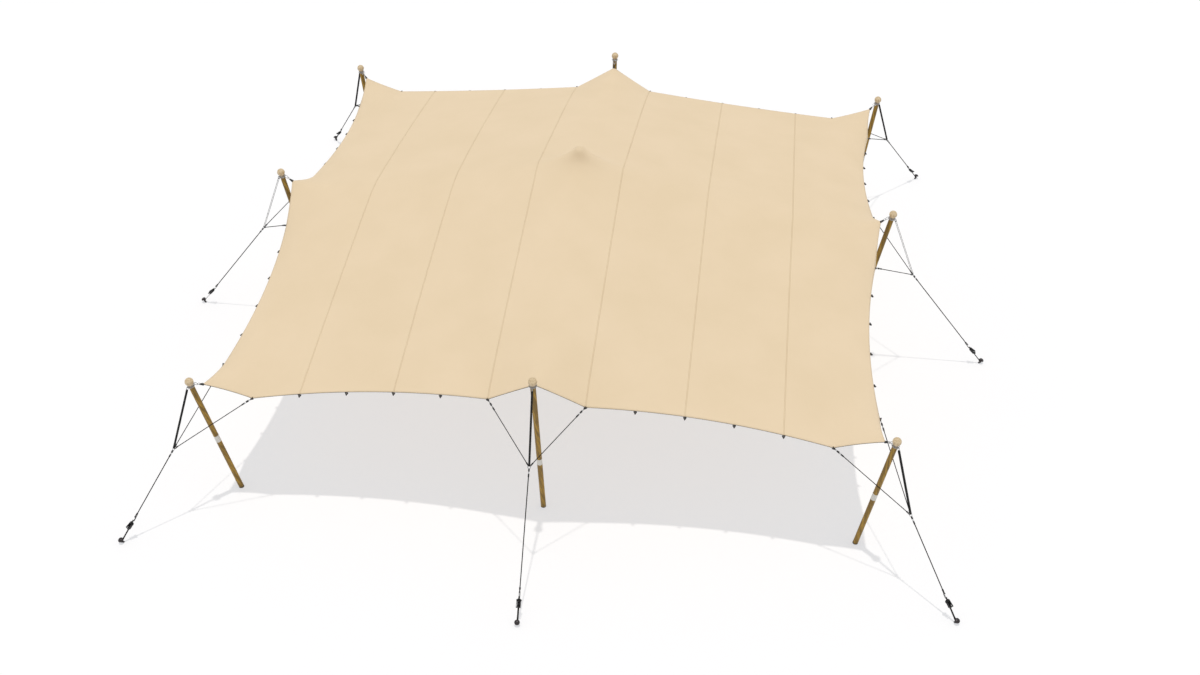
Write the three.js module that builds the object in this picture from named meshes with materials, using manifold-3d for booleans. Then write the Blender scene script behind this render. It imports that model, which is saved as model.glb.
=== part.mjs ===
// A stretch tent: one stretchy canopy of seven cloth panels, pulled tight between eight
// leaning wooden poles with ball caps, pushed up in the middle by a centre pole, and
// held down by eight rope bridles, ratchets and ground stakes.
//
// Frame: millimetres, +Z up, ground at z = 0, origin on the ground under the peak.
// +X runs to the right along the front edge, and the front edge faces -Y.

import * as THREE from 'three';
import { mergeVertices } from 'three/addons/utils/BufferGeometryUtils.js';
import Module from 'manifold-3d';

const wasm = await Module();
wasm.setup();

// ---------------------------------------------------------------- driving dimensions

// Canopy: the net is worked out on a fine grid and the panels take every second line.
const PANEL_COUNT = 7;
const NET_CELLS_PER_CLIP = 4;
const CLIP_GAPS_PER_SIDE = 14;
const NET_CELLS = NET_CELLS_PER_CLIP * CLIP_GAPS_PER_SIDE;
const PANEL_STEP = 2;
const CLOTH_THICKNESS = 12;
const SEAM_GAP = 0.8;
const PEAK_HEIGHT = 4059;
const SHOULDER_ACROSS = [187, 0, 3918];
const SHOULDER_ALONG = [0, 176, 3819];

// How far the free edge between two bridles pulls in, and how far it lifts.
const LONG_EDGE_SAG = 120;
const LONG_EDGE_LIFT = 40;
const SIDE_EDGE_SAG = 135;
const SIDE_EDGE_LIFT = 20;

// Cloth tension: plain cloth across and along, and the tight band from side to side over
// the peak, whose half width is counted in clip gaps.
const TENSION_ACROSS = 0.0905;
const TENSION_ALONG = 1;
const RIDGE_TENSION_ACROSS = 65.5;
const RIDGE_HALF_WIDTH = 0.5;
// The stretched cloth bellies up a little between its supports.
const CLOTH_LIFT = 0.5;
const RELAX_SWEEPS = 3000;
const RELAX_FACTOR = 1.9;

// Poles
const POLE_RADIUS = 42.5;
const POLE_SIDES = 12;
const SHOE_RADIUS = 43.5;
const SHOE_HEIGHT = 30;
const SLEEVE_RADIUS = 44.5;
const SLEEVE_LENGTH = 140;
const SLEEVE_FROM_FOOT = 1165;
const BALL_RADIUS = 67.5;
const COLLAR_DROP = 105;
const COLLAR_RADIUS = 46;
const CENTRE_BALL_HEIGHT = 3935;
const FIT_GAP = 0.4;

// Guy lines
const ROPE_RADIUS = 6;
const STRAP_WIDTH = 28;
const STRAP_THICKNESS = 8;
const NECK_RING_RADIUS = 58;
const NECK_RING_DROP = 84;
const RING_RADIUS = 22;
const RING_WIRE = 5;
const CLAMP_LENGTH = 60;
const CLAMP_WIDTH = 28;
const CLAMP_THICKNESS = 16;
const CLAMP_GAP = 34;
const HOOK_FROM_STAKE = 470;
const HOOK_LENGTH = 95;
const HOOK_RADIUS = 8;

// Ratchet, measured from its middle: u runs down the line, v sideways, w away from the ground
const RATCHET_FROM_STAKE = 305;
const SPOOL_AT = -38;
const BOLT_AT = 52;
const SPOOL_RADIUS = 9;
const ROLL_RADIUS = 23;
const FRAME_INNER = 20;
const PLATE_THICKNESS = 4;
const HANDLE_INNER = 31;
const SPOOL_REACH = 40;
const HANDLE_HOLE_RADIUS = 10.5;
const GRIP_AT = 62;
const GRIP_RISE = 30;
const GRIP_RADIUS = 9;

// Stakes
const STAKE_SIDES = 10;
const STAKE_HEAD_RADIUS = 43;
const STAKE_HEAD_HEIGHT = 34;
const STAKE_RADIUS = 14;
const STAKE_HEAD_Z = 78;
const STAKE_LEAN = 40;
const STAKE_POINT_Z = 38;
const STAKE_HEAD_UNDER = 30;
const STAKE_RING_RADIUS = STAKE_RADIUS + 1.6 * RING_WIRE;

// Where each station's points lie, for the corner at +X +Y and the two middles
const CORNER = {
  ball: [5386, 5133, 2511],
  foot: [5063, 4827],
  tip: [5242, 4995, 2366],
  junction: [5721, 5491, 1387],
  stake: [6540, 6293],
  edges: [[4500, 4955, 2120], [5212, 4216, 2128]],
};
const END_MIDDLE = {
  ball: [0, 5178, 3124],
  foot: [0, 4645],
  tip: [0, 5024, 2934],
  junction: [0, 5712, 1897],
  stake: [0, 7152],
  edges: [[750, 4934, 2493], [-750, 4934, 2493]],
};
const SIDE_MIDDLE = {
  ball: [5434, 0, 3114],
  foot: [4900, 0],
  tip: [5246, 0, 2952],
  junction: [5940, 0, 1875],
  stake: [7412, 0],
  edges: [[5186, 773, 2510], [5186, -773, 2510]],
};
const STATIONS = [
  ['front_left', CORNER, -1, -1],
  ['front_mid', END_MIDDLE, 1, -1],
  ['front_right', CORNER, 1, -1],
  ['right_mid', SIDE_MIDDLE, 1, 1],
  ['back_right', CORNER, 1, 1],
  ['back_mid', END_MIDDLE, 1, 1],
  ['back_left', CORNER, -1, 1],
  ['left_mid', SIDE_MIDDLE, -1, 1],
];

// ---------------------------------------------------------------- materials

const CLOTH = { color: 0xe9d4b2, roughness: 0.85, metalness: 0 };
const WOOD = { color: 0x7d6324, roughness: 0.55, metalness: 0 };
const CAP_WOOD = { color: 0xd2bd9c, roughness: 0.5, metalness: 0 };
const ROPE = { color: 0x2b2b2d, roughness: 0.8, metalness: 0 };
const STEEL = { color: 0x17181a, roughness: 0.45, metalness: 0.6 };

// ---------------------------------------------------------------- helpers

const group = new THREE.Group();
const UP = new THREE.Vector3(0, 0, 1);

function addMesh(name, geometry, finish) {
  const mesh = new THREE.Mesh(geometry, new THREE.MeshStandardMaterial(finish));
  mesh.name = name;
  group.add(mesh);
}

// A point of the +X +Y quarter, mirrored to the quarter with these signs.
function mirrored(point, signX, signY) {
  return new THREE.Vector3(point[0] * signX, point[1] * signY, point[2] ?? 0);
}

function toSolid(geometry) {
  const bare = geometry.index ? geometry.toNonIndexed() : geometry.clone();
  bare.deleteAttribute('normal');
  bare.deleteAttribute('uv');
  const welded = mergeVertices(bare, 1e-3);
  return new wasm.Manifold(new wasm.Mesh({
    numProp: 3,
    vertProperties: welded.attributes.position.array,
    triVerts: new Uint32Array(welded.index.array),
  }));
}

function toGeometry(solid) {
  const mesh = solid.getMesh();
  const geometry = new THREE.BufferGeometry();
  geometry.setAttribute('position', new THREE.BufferAttribute(mesh.vertProperties, 3));
  geometry.setIndex(new THREE.BufferAttribute(mesh.triVerts, 1));
  return geometry;
}

function fuse(geometries) {
  return geometries.map(toSolid).reduce((whole, next) => whole.add(next));
}

// Places a geometry made about the Y axis so that its Y axis runs along a direction.
function placeAlong(geometry, origin, direction) {
  const turn = new THREE.Quaternion().setFromUnitVectors(new THREE.Vector3(0, 1, 0), direction);
  geometry.applyQuaternion(turn);
  geometry.translate(origin.x, origin.y, origin.z);
  return geometry;
}

function rod(from, to, radius, sides = 5) {
  const length = from.distanceTo(to);
  const geometry = new THREE.CylinderGeometry(radius, radius, length, sides);
  const direction = to.clone().sub(from).normalize();
  return placeAlong(geometry, from.clone().lerp(to, 0.5), direction);
}

// A flat bar between two points, its wide side level.
function flatBar(from, to, width, thickness) {
  const along = to.clone().sub(from).normalize();
  const level = new THREE.Vector3().crossVectors(along, UP).normalize();
  const normal = new THREE.Vector3().crossVectors(level, along);
  const geometry = new THREE.BoxGeometry(width, from.distanceTo(to), thickness);
  const middle = from.clone().lerp(to, 0.5);
  const basis = new THREE.Matrix4().makeBasis(level, along, normal).setPosition(middle);
  geometry.applyMatrix4(basis);
  return geometry;
}

function ring(centre, axis, radius, wire) {
  const geometry = new THREE.TorusGeometry(radius, wire, 4, 9);
  const turn = new THREE.Quaternion().setFromUnitVectors(UP, axis);
  geometry.applyQuaternion(turn);
  geometry.translate(centre.x, centre.y, centre.z);
  return geometry;
}

// A turned piece: profile points are [radius, height], first and last on the axis.
function turned(profile, sides, origin, direction) {
  const points = profile.map(([radius, height]) => new THREE.Vector2(radius, height));
  return placeAlong(new THREE.LatheGeometry(points, sides), origin, direction);
}

// Cuts away everything below the ground.
function cutAtGround(solid, centre) {
  const size = 400;
  const block = new THREE.BoxGeometry(size, size, size);
  block.translate(centre.x, centre.y, -size / 2);
  return solid.subtract(toSolid(block));
}

// ---------------------------------------------------------------- canopy

// The outline of one quarter: tip, bridle point, scalloped edge, bridle point, tip.
function edgeRun(from, to, fraction, sag, lift, sagAxis) {
  const point = from.map((value, axis) => value + (to[axis] - value) * fraction);
  const bulge = 4 * fraction * (1 - fraction);
  point[sagAxis] -= sag * bulge;
  point[2] += lift * bulge;
  return point;
}

function edgePoint(middle, corner, cornerEdge, sagAxis, sag, lift, clipsFromMiddle) {
  if (clipsFromMiddle <= 1) {
    return edgeRun(middle.tip, middle.edges[0], clipsFromMiddle, 10, 0, sagAxis);
  }
  if (clipsFromMiddle >= 6) {
    return edgeRun(corner.edges[cornerEdge], corner.tip, clipsFromMiddle - 6, 20, 0, sagAxis);
  }
  const fraction = (clipsFromMiddle - 1) / 5;
  return edgeRun(middle.edges[0], corner.edges[cornerEdge], fraction, sag, lift, sagAxis);
}

function frontEdge(clips) {
  return edgePoint(END_MIDDLE, CORNER, 0, 1, LONG_EDGE_SAG, LONG_EDGE_LIFT, clips);
}

function sideEdge(clips) {
  return edgePoint(SIDE_MIDDLE, CORNER, 1, 0, SIDE_EDGE_SAG, SIDE_EDGE_LIFT, clips);
}

// Net of stretched lines, settled to the shape where every free knot is in balance.
function stretchedNet() {
  const count = NET_CELLS + 1;
  const middle = NET_CELLS / 2;
  const knots = [];
  const fixed = [];
  for (let i = 0; i < count; i += 1) {
    for (let j = 0; j < count; j += 1) {
      const across = (i - middle) / NET_CELLS_PER_CLIP;
      const along = (j - middle) / NET_CELLS_PER_CLIP;
      const signs = [Math.sign(across) || 1, Math.sign(along) || 1, 1];
      let point = [Math.abs(across) * 750, Math.abs(along) * 715, 2800];
      const onFrontOrBack = j === 0 || j === NET_CELLS;
      const onSide = i === 0 || i === NET_CELLS;
      if (onFrontOrBack) {
        point = frontEdge(Math.abs(across));
      } else if (onSide) {
        point = sideEdge(Math.abs(along));
      } else if (i === middle && j === middle) {
        point = [0, 0, PEAK_HEIGHT];
      } else if (j === middle && Math.abs(i - middle) === 1) {
        point = SHOULDER_ACROSS;
      } else if (i === middle && Math.abs(j - middle) === 1) {
        point = SHOULDER_ALONG;
      }
      knots.push(point.map((value, axis) => value * signs[axis]));
      const onPeak = Math.abs(i - middle) + Math.abs(j - middle) <= 1;
      fixed.push(onFrontOrBack || onSide || onPeak);
    }
  }
  const ridgeCells = RIDGE_HALF_WIDTH * NET_CELLS_PER_CLIP;
  const band = (line) => Math.exp(-(((line - middle) / ridgeCells) ** 2));
  for (let sweep = 0; sweep < RELAX_SWEEPS; sweep += 1) {
    for (let i = 1; i < NET_CELLS; i += 1) {
      for (let j = 1; j < NET_CELLS; j += 1) {
        const here = i * count + j;
        if (!fixed[here]) {
          const across = TENSION_ACROSS * (1 + RIDGE_TENSION_ACROSS * band(j));
          const pull = 2 * (across + TENSION_ALONG);
          for (let axis = 0; axis < 3; axis += 1) {
            const sides = knots[here - count][axis] + knots[here + count][axis];
            const ends = knots[here - 1][axis] + knots[here + 1][axis];
            const lift = axis === 2 ? CLOTH_LIFT : 0;
            const balance = (across * sides + TENSION_ALONG * ends + lift) / pull;
            knots[here][axis] += RELAX_FACTOR * (balance - knots[here][axis]);
          }
        }
      }
    }
  }
  return (i, j) => knots[i * count + j];
}

// One cloth panel: a closed sheet between two seam lines, from the front to the back edge.
function panel(net, first, last) {
  const rows = NET_CELLS / PANEL_STEP;
  const columns = (last - first) / PANEL_STEP;
  const corners = [];
  for (const drop of [0, CLOTH_THICKNESS]) {
    for (let i = 0; i <= columns; i += 1) {
      for (let j = 0; j <= rows; j += 1) {
        const [x, y, z] = net(first + i * PANEL_STEP, j * PANEL_STEP);
        let inset = 0;
        if (i === 0 && first > 0) {
          inset = SEAM_GAP / 2;
        } else if (i === columns && last < NET_CELLS) {
          inset = -SEAM_GAP / 2;
        }
        corners.push(x + inset, y, z - drop);
      }
    }
  }
  const faces = [];
  const layer = (columns + 1) * (rows + 1);
  const at = (i, j, under = 0) => under * layer + i * (rows + 1) + j;
  const quad = (a, b, c, d) => faces.push(a, b, c, a, c, d);
  for (let i = 0; i < columns; i += 1) {
    for (let j = 0; j < rows; j += 1) {
      quad(at(i, j), at(i + 1, j), at(i + 1, j + 1), at(i, j + 1));
      quad(at(i, j + 1, 1), at(i + 1, j + 1, 1), at(i + 1, j, 1), at(i, j, 1));
    }
    quad(at(i, 0, 1), at(i + 1, 0, 1), at(i + 1, 0), at(i, 0));
    quad(at(i, rows), at(i + 1, rows), at(i + 1, rows, 1), at(i, rows, 1));
  }
  for (let j = 0; j < rows; j += 1) {
    quad(at(0, j), at(0, j + 1), at(0, j + 1, 1), at(0, j, 1));
    quad(at(columns, j, 1), at(columns, j + 1, 1), at(columns, j + 1), at(columns, j));
  }
  const geometry = new THREE.BufferGeometry();
  geometry.setAttribute('position', new THREE.Float32BufferAttribute(corners, 3));
  geometry.setIndex(faces);
  return geometry;
}

const net = stretchedNet();
const panelCells = NET_CELLS / PANEL_COUNT;
for (let number = 1; number <= PANEL_COUNT; number += 1) {
  const cloth = panel(net, (number - 1) * panelCells, number * panelCells);
  addMesh(`canopy_panel_${number}`, cloth, CLOTH);
}

// ---------------------------------------------------------------- poles

// Two pole lengths in a sleeve, standing in a shoe that is cut level at the ground.
function pole(foot, top) {
  const axis = top.clone().sub(foot);
  const length = axis.length();
  const buried = 60;
  const sleeve = SLEEVE_FROM_FOOT;
  const profile = [
    [0, -buried],
    [SHOE_RADIUS, -buried],
    [SHOE_RADIUS, SHOE_HEIGHT - 6],
    [POLE_RADIUS, SHOE_HEIGHT],
    [POLE_RADIUS, sleeve],
    [SLEEVE_RADIUS, sleeve],
    [SLEEVE_RADIUS, sleeve + SLEEVE_LENGTH],
    [POLE_RADIUS, sleeve + SLEEVE_LENGTH],
    [POLE_RADIUS, length],
    [0, length],
  ];
  const solid = toSolid(turned(profile, POLE_SIDES, foot, axis.normalize()));
  return toGeometry(cutAtGround(solid, foot));
}

// Ball on a collar that narrows down to the pole.
function cap(ball, axis, radius, seat) {
  const profile = [[0, -seat], [radius, -seat]];
  const steps = 6;
  const neck = Math.PI * 0.72;
  for (let step = 0; step < steps; step += 1) {
    const angle = neck * (1 - step / steps);
    profile.push([BALL_RADIUS * Math.sin(angle), BALL_RADIUS * Math.cos(angle)]);
  }
  profile.push([0, BALL_RADIUS]);
  return turned(profile, POLE_SIDES, ball, axis);
}

// ---------------------------------------------------------------- guy lines

// Neck ring, link and clamp at the canopy tip, strap and two rope legs down to the
// junction ring, and the rope from there to the hook.
function bridle(points, poleAxis) {
  const { ball, tip, junction, stake, edges } = points;
  const neck = ball.clone().addScaledVector(poleAxis, -NECK_RING_DROP);
  const towards = (from, to) => to.clone().sub(from).normalize();
  const onNeck = (target) => {
    const direction = target.clone().sub(neck);
    direction.addScaledVector(poleAxis, -direction.dot(poleAxis)).normalize();
    return neck.clone().addScaledVector(direction, NECK_RING_RADIUS);
  };
  const inner = onNeck(tip);
  const outer = onNeck(junction);
  const lineEnd = stake.clone().addScaledVector(towards(stake, junction), HOOK_FROM_STAKE);
  const hookEnd = lineEnd.clone().addScaledVector(towards(junction, stake), HOOK_LENGTH);
  const parts = [
    ring(neck, poleAxis, NECK_RING_RADIUS, RING_WIRE),
    flatBar(outer, junction, STRAP_WIDTH, STRAP_THICKNESS),
    rod(junction, lineEnd.clone().lerp(hookEnd, 0.5), ROPE_RADIUS),
    rod(lineEnd, hookEnd, HOOK_RADIUS),
  ];
  const face = new THREE.Vector3().crossVectors(
    towards(junction, edges[0]),
    towards(junction, edges[1]),
  ).normalize();
  parts.push(ring(junction, face, RING_RADIUS, RING_WIRE));
  const clampTo = (end, from) => {
    const pull = towards(end, from);
    const near = end.clone().addScaledVector(pull, CLAMP_GAP);
    const far = near.clone().addScaledVector(pull, CLAMP_LENGTH);
    parts.push(flatBar(near, far, CLAMP_WIDTH, CLAMP_THICKNESS));
    parts.push(rod(near.clone().lerp(far, 0.5), from, ROPE_RADIUS));
  };
  clampTo(tip, inner);
  for (const edge of edges) {
    clampTo(edge, junction);
  }
  return toGeometry(fuse(parts));
}

// ---------------------------------------------------------------- ratchets

// Plate outline in u and w: round about two centres, with an optional hole at the first.
function plate(nearU, nearW, nearRadius, farU, farW, farRadius, hole) {
  const tilt = Math.atan2(farW - nearW, farU - nearU);
  const shape = new THREE.Shape();
  shape.absarc(nearU, nearW, nearRadius, tilt + Math.PI / 2, tilt + Math.PI * 1.5, false);
  shape.absarc(farU, farW, farRadius, tilt - Math.PI / 2, tilt + Math.PI / 2, false);
  shape.closePath();
  if (hole) {
    const opening = new THREE.Path();
    opening.absarc(nearU, nearW, hole, 0, Math.PI * 2, true);
    shape.holes.push(opening);
  }
  return shape;
}

function platePair(shape, inner) {
  return [inner, -inner - PLATE_THICKNESS].map((start) => {
    const geometry = new THREE.ExtrudeGeometry(shape, {
      depth: PLATE_THICKNESS,
      bevelEnabled: false,
      curveSegments: 3,
    });
    geometry.translate(0, 0, start);
    return geometry;
  });
}

// A rod across the ratchet; the plates are drawn in u and w, so across is local z.
function crossRod(u, w, radius, reach, sides = 8) {
  const from = new THREE.Vector3(u, w, -reach);
  const to = new THREE.Vector3(u, w, reach);
  return rod(from, to, radius, sides);
}

// Local axes of a ratchet: x down the line, y away from the ground, z across.
function ratchetPlace(points) {
  const down = points.stake.clone().sub(points.junction).normalize();
  const across = new THREE.Vector3().crossVectors(down, UP).normalize();
  const away = new THREE.Vector3().crossVectors(across, down);
  const middle = points.stake.clone().addScaledVector(down, -RATCHET_FROM_STAKE);
  return new THREE.Matrix4().makeBasis(down, away, across).setPosition(middle);
}

// Frame plates, spool with its roll of webbing, bolt, and the strap down to the stake.
function ratchetFrame(points) {
  const shape = plate(SPOOL_AT, 0, 16, BOLT_AT, 0, 11);
  const stakeLoop = points.stake.clone().applyMatrix4(ratchetPlace(points).invert());
  const strapEnd = stakeLoop.x - STAKE_RING_RADIUS;
  const strap = new THREE.BoxGeometry(strapEnd - BOLT_AT, STRAP_THICKNESS, STRAP_WIDTH);
  strap.translate((strapEnd + BOLT_AT) / 2, 0, 0);
  const local = fuse([
    ...platePair(shape, FRAME_INNER),
    crossRod(SPOOL_AT, 0, SPOOL_RADIUS, SPOOL_REACH),
    crossRod(SPOOL_AT, 0, ROLL_RADIUS, FRAME_INNER + 1),
    crossRod(BOLT_AT, 0, SPOOL_RADIUS, FRAME_INNER + 1),
    strap,
  ]);
  const frame = toGeometry(local).applyMatrix4(ratchetPlace(points));
  return toGeometry(fuse([frame, stakeRing(points)]));
}

function ratchetHandle(points) {
  const shape = plate(SPOOL_AT, 0, 17, GRIP_AT, GRIP_RISE, 12, HANDLE_HOLE_RADIUS);
  const local = fuse([
    ...platePair(shape, HANDLE_INNER),
    crossRod(GRIP_AT, GRIP_RISE, GRIP_RADIUS, HANDLE_INNER + 1),
  ]);
  return toGeometry(local).applyMatrix4(ratchetPlace(points));
}

// ---------------------------------------------------------------- stakes

// The peg leans outwards: its head is at the stake point, its foot nearer the tent.
function stakeAxis(points) {
  const outwards = points.stake.clone().sub(points.junction).setZ(0).normalize();
  return outwards.multiplyScalar(STAKE_LEAN).setZ(STAKE_HEAD_Z).normalize();
}

// The strap's end ring lies round the peg, in the plane of the strap.
function stakeRing(points) {
  const away = new THREE.Vector3().setFromMatrixColumn(ratchetPlace(points), 1);
  return ring(points.stake, away, STAKE_RING_RADIUS, RING_WIRE);
}

function stake(points) {
  const buried = 160;
  const under = STAKE_HEAD_UNDER;
  const profile = [[0, -buried], [STAKE_RADIUS, -buried], [STAKE_RADIUS, under]];
  const steps = 3;
  for (let step = 0; step < steps; step += 1) {
    const angle = (Math.PI / 2) * (step / steps);
    const height = under + 6 + (STAKE_HEAD_HEIGHT - 6) * Math.sin(angle);
    profile.push([STAKE_HEAD_RADIUS * Math.cos(angle), height]);
  }
  profile.splice(3, 0, [STAKE_HEAD_RADIUS, under]);
  profile.push([0, under + STAKE_HEAD_HEIGHT]);
  const solid = toSolid(turned(profile, STAKE_SIDES, points.stake, stakeAxis(points)));
  return toGeometry(cutAtGround(solid, points.stake));
}

// ---------------------------------------------------------------- assembly

for (const [name, quarter, signX, signY] of STATIONS) {
  const points = {
    ball: mirrored(quarter.ball, signX, signY),
    foot: mirrored(quarter.foot, signX, signY),
    tip: mirrored(quarter.tip, signX, signY),
    junction: mirrored(quarter.junction, signX, signY),
    stake: mirrored(quarter.stake, signX, signY).setZ(STAKE_POINT_Z),
    edges: quarter.edges.map((edge) => mirrored(edge, signX, signY)),
  };
  const axis = points.ball.clone().sub(points.foot).normalize();
  const poleTop = points.ball.clone().addScaledVector(axis, -COLLAR_DROP - FIT_GAP);
  addMesh(`pole_${name}`, pole(points.foot, poleTop), WOOD);
  addMesh(`pole_cap_${name}`, cap(points.ball, axis, COLLAR_RADIUS, COLLAR_DROP), CAP_WOOD);
  addMesh(`guy_bridle_${name}`, bridle(points, axis), ROPE);
  addMesh(`ratchet_${name}`, ratchetFrame(points), STEEL);
  addMesh(`ratchet_handle_${name}`, ratchetHandle(points), STEEL);
  addMesh(`stake_${name}`, stake(points), STEEL);
}

const centreFoot = new THREE.Vector3(0, 0, 0);
const centreBall = new THREE.Vector3(0, 0, CENTRE_BALL_HEIGHT);
const centreTop = centreBall.clone().setZ(CENTRE_BALL_HEIGHT - COLLAR_DROP - FIT_GAP);
addMesh('pole_centre', pole(centreFoot, centreTop), WOOD);
addMesh('pole_cap_centre', cap(centreBall, UP, COLLAR_RADIUS, COLLAR_DROP), CAP_WOOD);

export default group;
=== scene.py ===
# %% [markdown]
# # A stretch tent
# One big sheet of stretchy coated cloth is pulled tight over eight leaning timber poles and
# one centre pole. Ropes, ratchets and pegs hold it down. This lesson builds everything that
# the eye sees around a plain working model, which gives every place and every size.

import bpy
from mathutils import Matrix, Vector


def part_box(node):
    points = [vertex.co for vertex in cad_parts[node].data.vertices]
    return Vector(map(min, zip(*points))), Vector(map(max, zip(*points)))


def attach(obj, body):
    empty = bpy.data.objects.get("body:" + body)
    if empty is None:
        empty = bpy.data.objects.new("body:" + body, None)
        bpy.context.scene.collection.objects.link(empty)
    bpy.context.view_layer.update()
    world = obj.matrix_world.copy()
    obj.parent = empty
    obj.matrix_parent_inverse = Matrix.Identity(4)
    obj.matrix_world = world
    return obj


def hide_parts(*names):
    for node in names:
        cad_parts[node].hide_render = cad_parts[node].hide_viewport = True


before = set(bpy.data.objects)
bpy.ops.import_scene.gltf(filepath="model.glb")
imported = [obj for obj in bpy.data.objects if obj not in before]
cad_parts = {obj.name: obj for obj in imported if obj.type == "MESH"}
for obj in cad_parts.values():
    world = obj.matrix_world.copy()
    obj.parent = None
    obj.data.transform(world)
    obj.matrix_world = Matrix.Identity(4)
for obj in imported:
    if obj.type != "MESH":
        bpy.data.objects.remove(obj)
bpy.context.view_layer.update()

# %% Blender's modules
import math

import bmesh
import bpy
import numpy as np
from mathutils import Matrix, Vector

UP = Vector((0, 0, 1))
SCENE = bpy.context.scene

# %% [markdown]
# ## Camera
# The tent is seen from the front and above, a little to its right, with a lens slightly
# longer than normal. The camera is placed by its own numbers and not aimed at a point, so
# that nothing in the scene can turn it.

# %% Camera
CAMERA_PLACE = (2.971, -20.721, 16.576)
CAMERA_PITCH_DOWN = 0.674
CAMERA_TURN = 0.126
CAMERA_LENS_MM = 42.214

camera_data = bpy.data.cameras.new("camera")
camera_data.lens = CAMERA_LENS_MM
camera_data.sensor_width = 36
camera = bpy.data.objects.new("camera", camera_data)
camera.location = CAMERA_PLACE
camera.rotation_euler = (math.pi / 2 - CAMERA_PITCH_DOWN, 0, CAMERA_TURN)
SCENE.collection.objects.link(camera)
SCENE.camera = camera
print("camera", round((camera.location - Vector((0, 0, 2))).length, 2), "m from the tent")

# %% [markdown]
# ## Tools for materials
# A material is a small graph of nodes. One function adds a node, sets its values and joins
# its inputs, and one turns the hex colours that people read off a paint card into the
# linear numbers that the renderer works with.

# %% Node tools
def colour(hex_code):
    """An sRGB hex code as linear red, green, blue and alpha."""
    shares = [int(hex_code[at:at + 2], 16) / 255 for at in (1, 3, 5)]
    linear = [s / 12.92 if s <= 0.04045 else ((s + 0.055) / 1.055) ** 2.4 for s in shares]
    return (*linear, 1)


def add_node(tree, kind, settings=None, inputs=None):
    """Adds a node. Settings are its properties; an input is a value or another node's socket."""
    node = tree.nodes.new(kind)
    for name, value in (settings or {}).items():
        setattr(node, name, value)
    for name, value in (inputs or {}).items():
        socket = node.inputs[name]
        if isinstance(value, bpy.types.NodeSocket):
            tree.links.new(value, socket)
        else:
            socket.default_value = value
    return node


def new_finish(name, **shader_values):
    """A new material with its tree and its shader, whose own sockets take the even values."""
    material = bpy.data.materials.new(name)
    material.use_nodes = True
    tree = material.node_tree
    shader = tree.nodes["Principled BSDF"]
    for socket, value in shader_values.items():
        shader.inputs[socket.replace("_", " ")].default_value = value
    return material, tree, shader


def blend_colours(tree, share, first, second):
    """The colour socket of a mix from the first hex colour or socket to the second."""
    colours = [colour(c) if isinstance(c, str) else c for c in (first, second)]
    node = add_node(tree, "ShaderNodeMix", {"data_type": "RGBA"}, {"Factor": share})
    for socket, value in zip((node.inputs[6], node.inputs[7]), colours):
        if isinstance(value, bpy.types.NodeSocket):
            tree.links.new(value, socket)
        else:
            socket.default_value = value
    return node.outputs[2]


print("node tools ready, mid grey is", round(colour("#808080")[0], 3))

# %% [markdown]
# ## Light
# The light is that of a bright white studio: a pale dome, brightest low down where the walls
# stand, and one lamp straight overhead, which puts a clear shadow under the cloth.

# %% Light
DOME_LOW = 1.0
DOME_TOP = 0.52
LAMP_STRENGTH = 1.92
LAMP_ANGLE = math.radians(1.2)

dome = bpy.data.worlds.new("studio_dome")
dome.use_nodes = True
dome_direction = add_node(dome.node_tree, "ShaderNodeTexCoord")
dome_parts = add_node(
    dome.node_tree,
    "ShaderNodeSeparateXYZ",
    {},
    {"Vector": dome_direction.outputs["Generated"]},
)
dome_fall = add_node(
    dome.node_tree,
    "ShaderNodeMapRange",
    {"interpolation_type": "SMOOTHERSTEP"},
    {
        "Value": dome_parts.outputs["Z"],
        "From Max": 0.8,
        "To Min": DOME_LOW,
        "To Max": DOME_TOP,
    },
)
backdrop = dome.node_tree.nodes["Background"]
backdrop.inputs["Color"].default_value = (1, 1, 1, 1)
dome.node_tree.links.new(dome_fall.outputs["Result"], backdrop.inputs["Strength"])
SCENE.world = dome

lamp_data = bpy.data.lights.new("overhead_lamp", "SUN")
lamp_data.energy = LAMP_STRENGTH
lamp_data.angle = LAMP_ANGLE
lamp = bpy.data.objects.new("overhead_lamp", lamp_data)
lamp.location = (0, 0, 12)
SCENE.collection.objects.link(lamp)
SCENE.view_settings.view_transform = "Standard"
print("lamp straight overhead, dome from", DOME_LOW, "down to", DOME_TOP)

# %% [markdown]
# ## Finish: coated stretch cloth
# The canopy is a knitted polyester with a thin soft coating, sand coloured. From near it has
# a fine knit in rows; from far it is almost even, with a faint cloudiness where the coating
# and the pull vary. It is matt, with a weak sheen at a low angle. The knit is about 1.2 mm
# in truth; it is drawn at 9 mm, which is as coarse as it needs to show at all. The pattern
# follows the cut of the cloth through its UV map, which is in metres.

# %% Canopy cloth finish
KNIT_PITCH = 0.009


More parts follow.
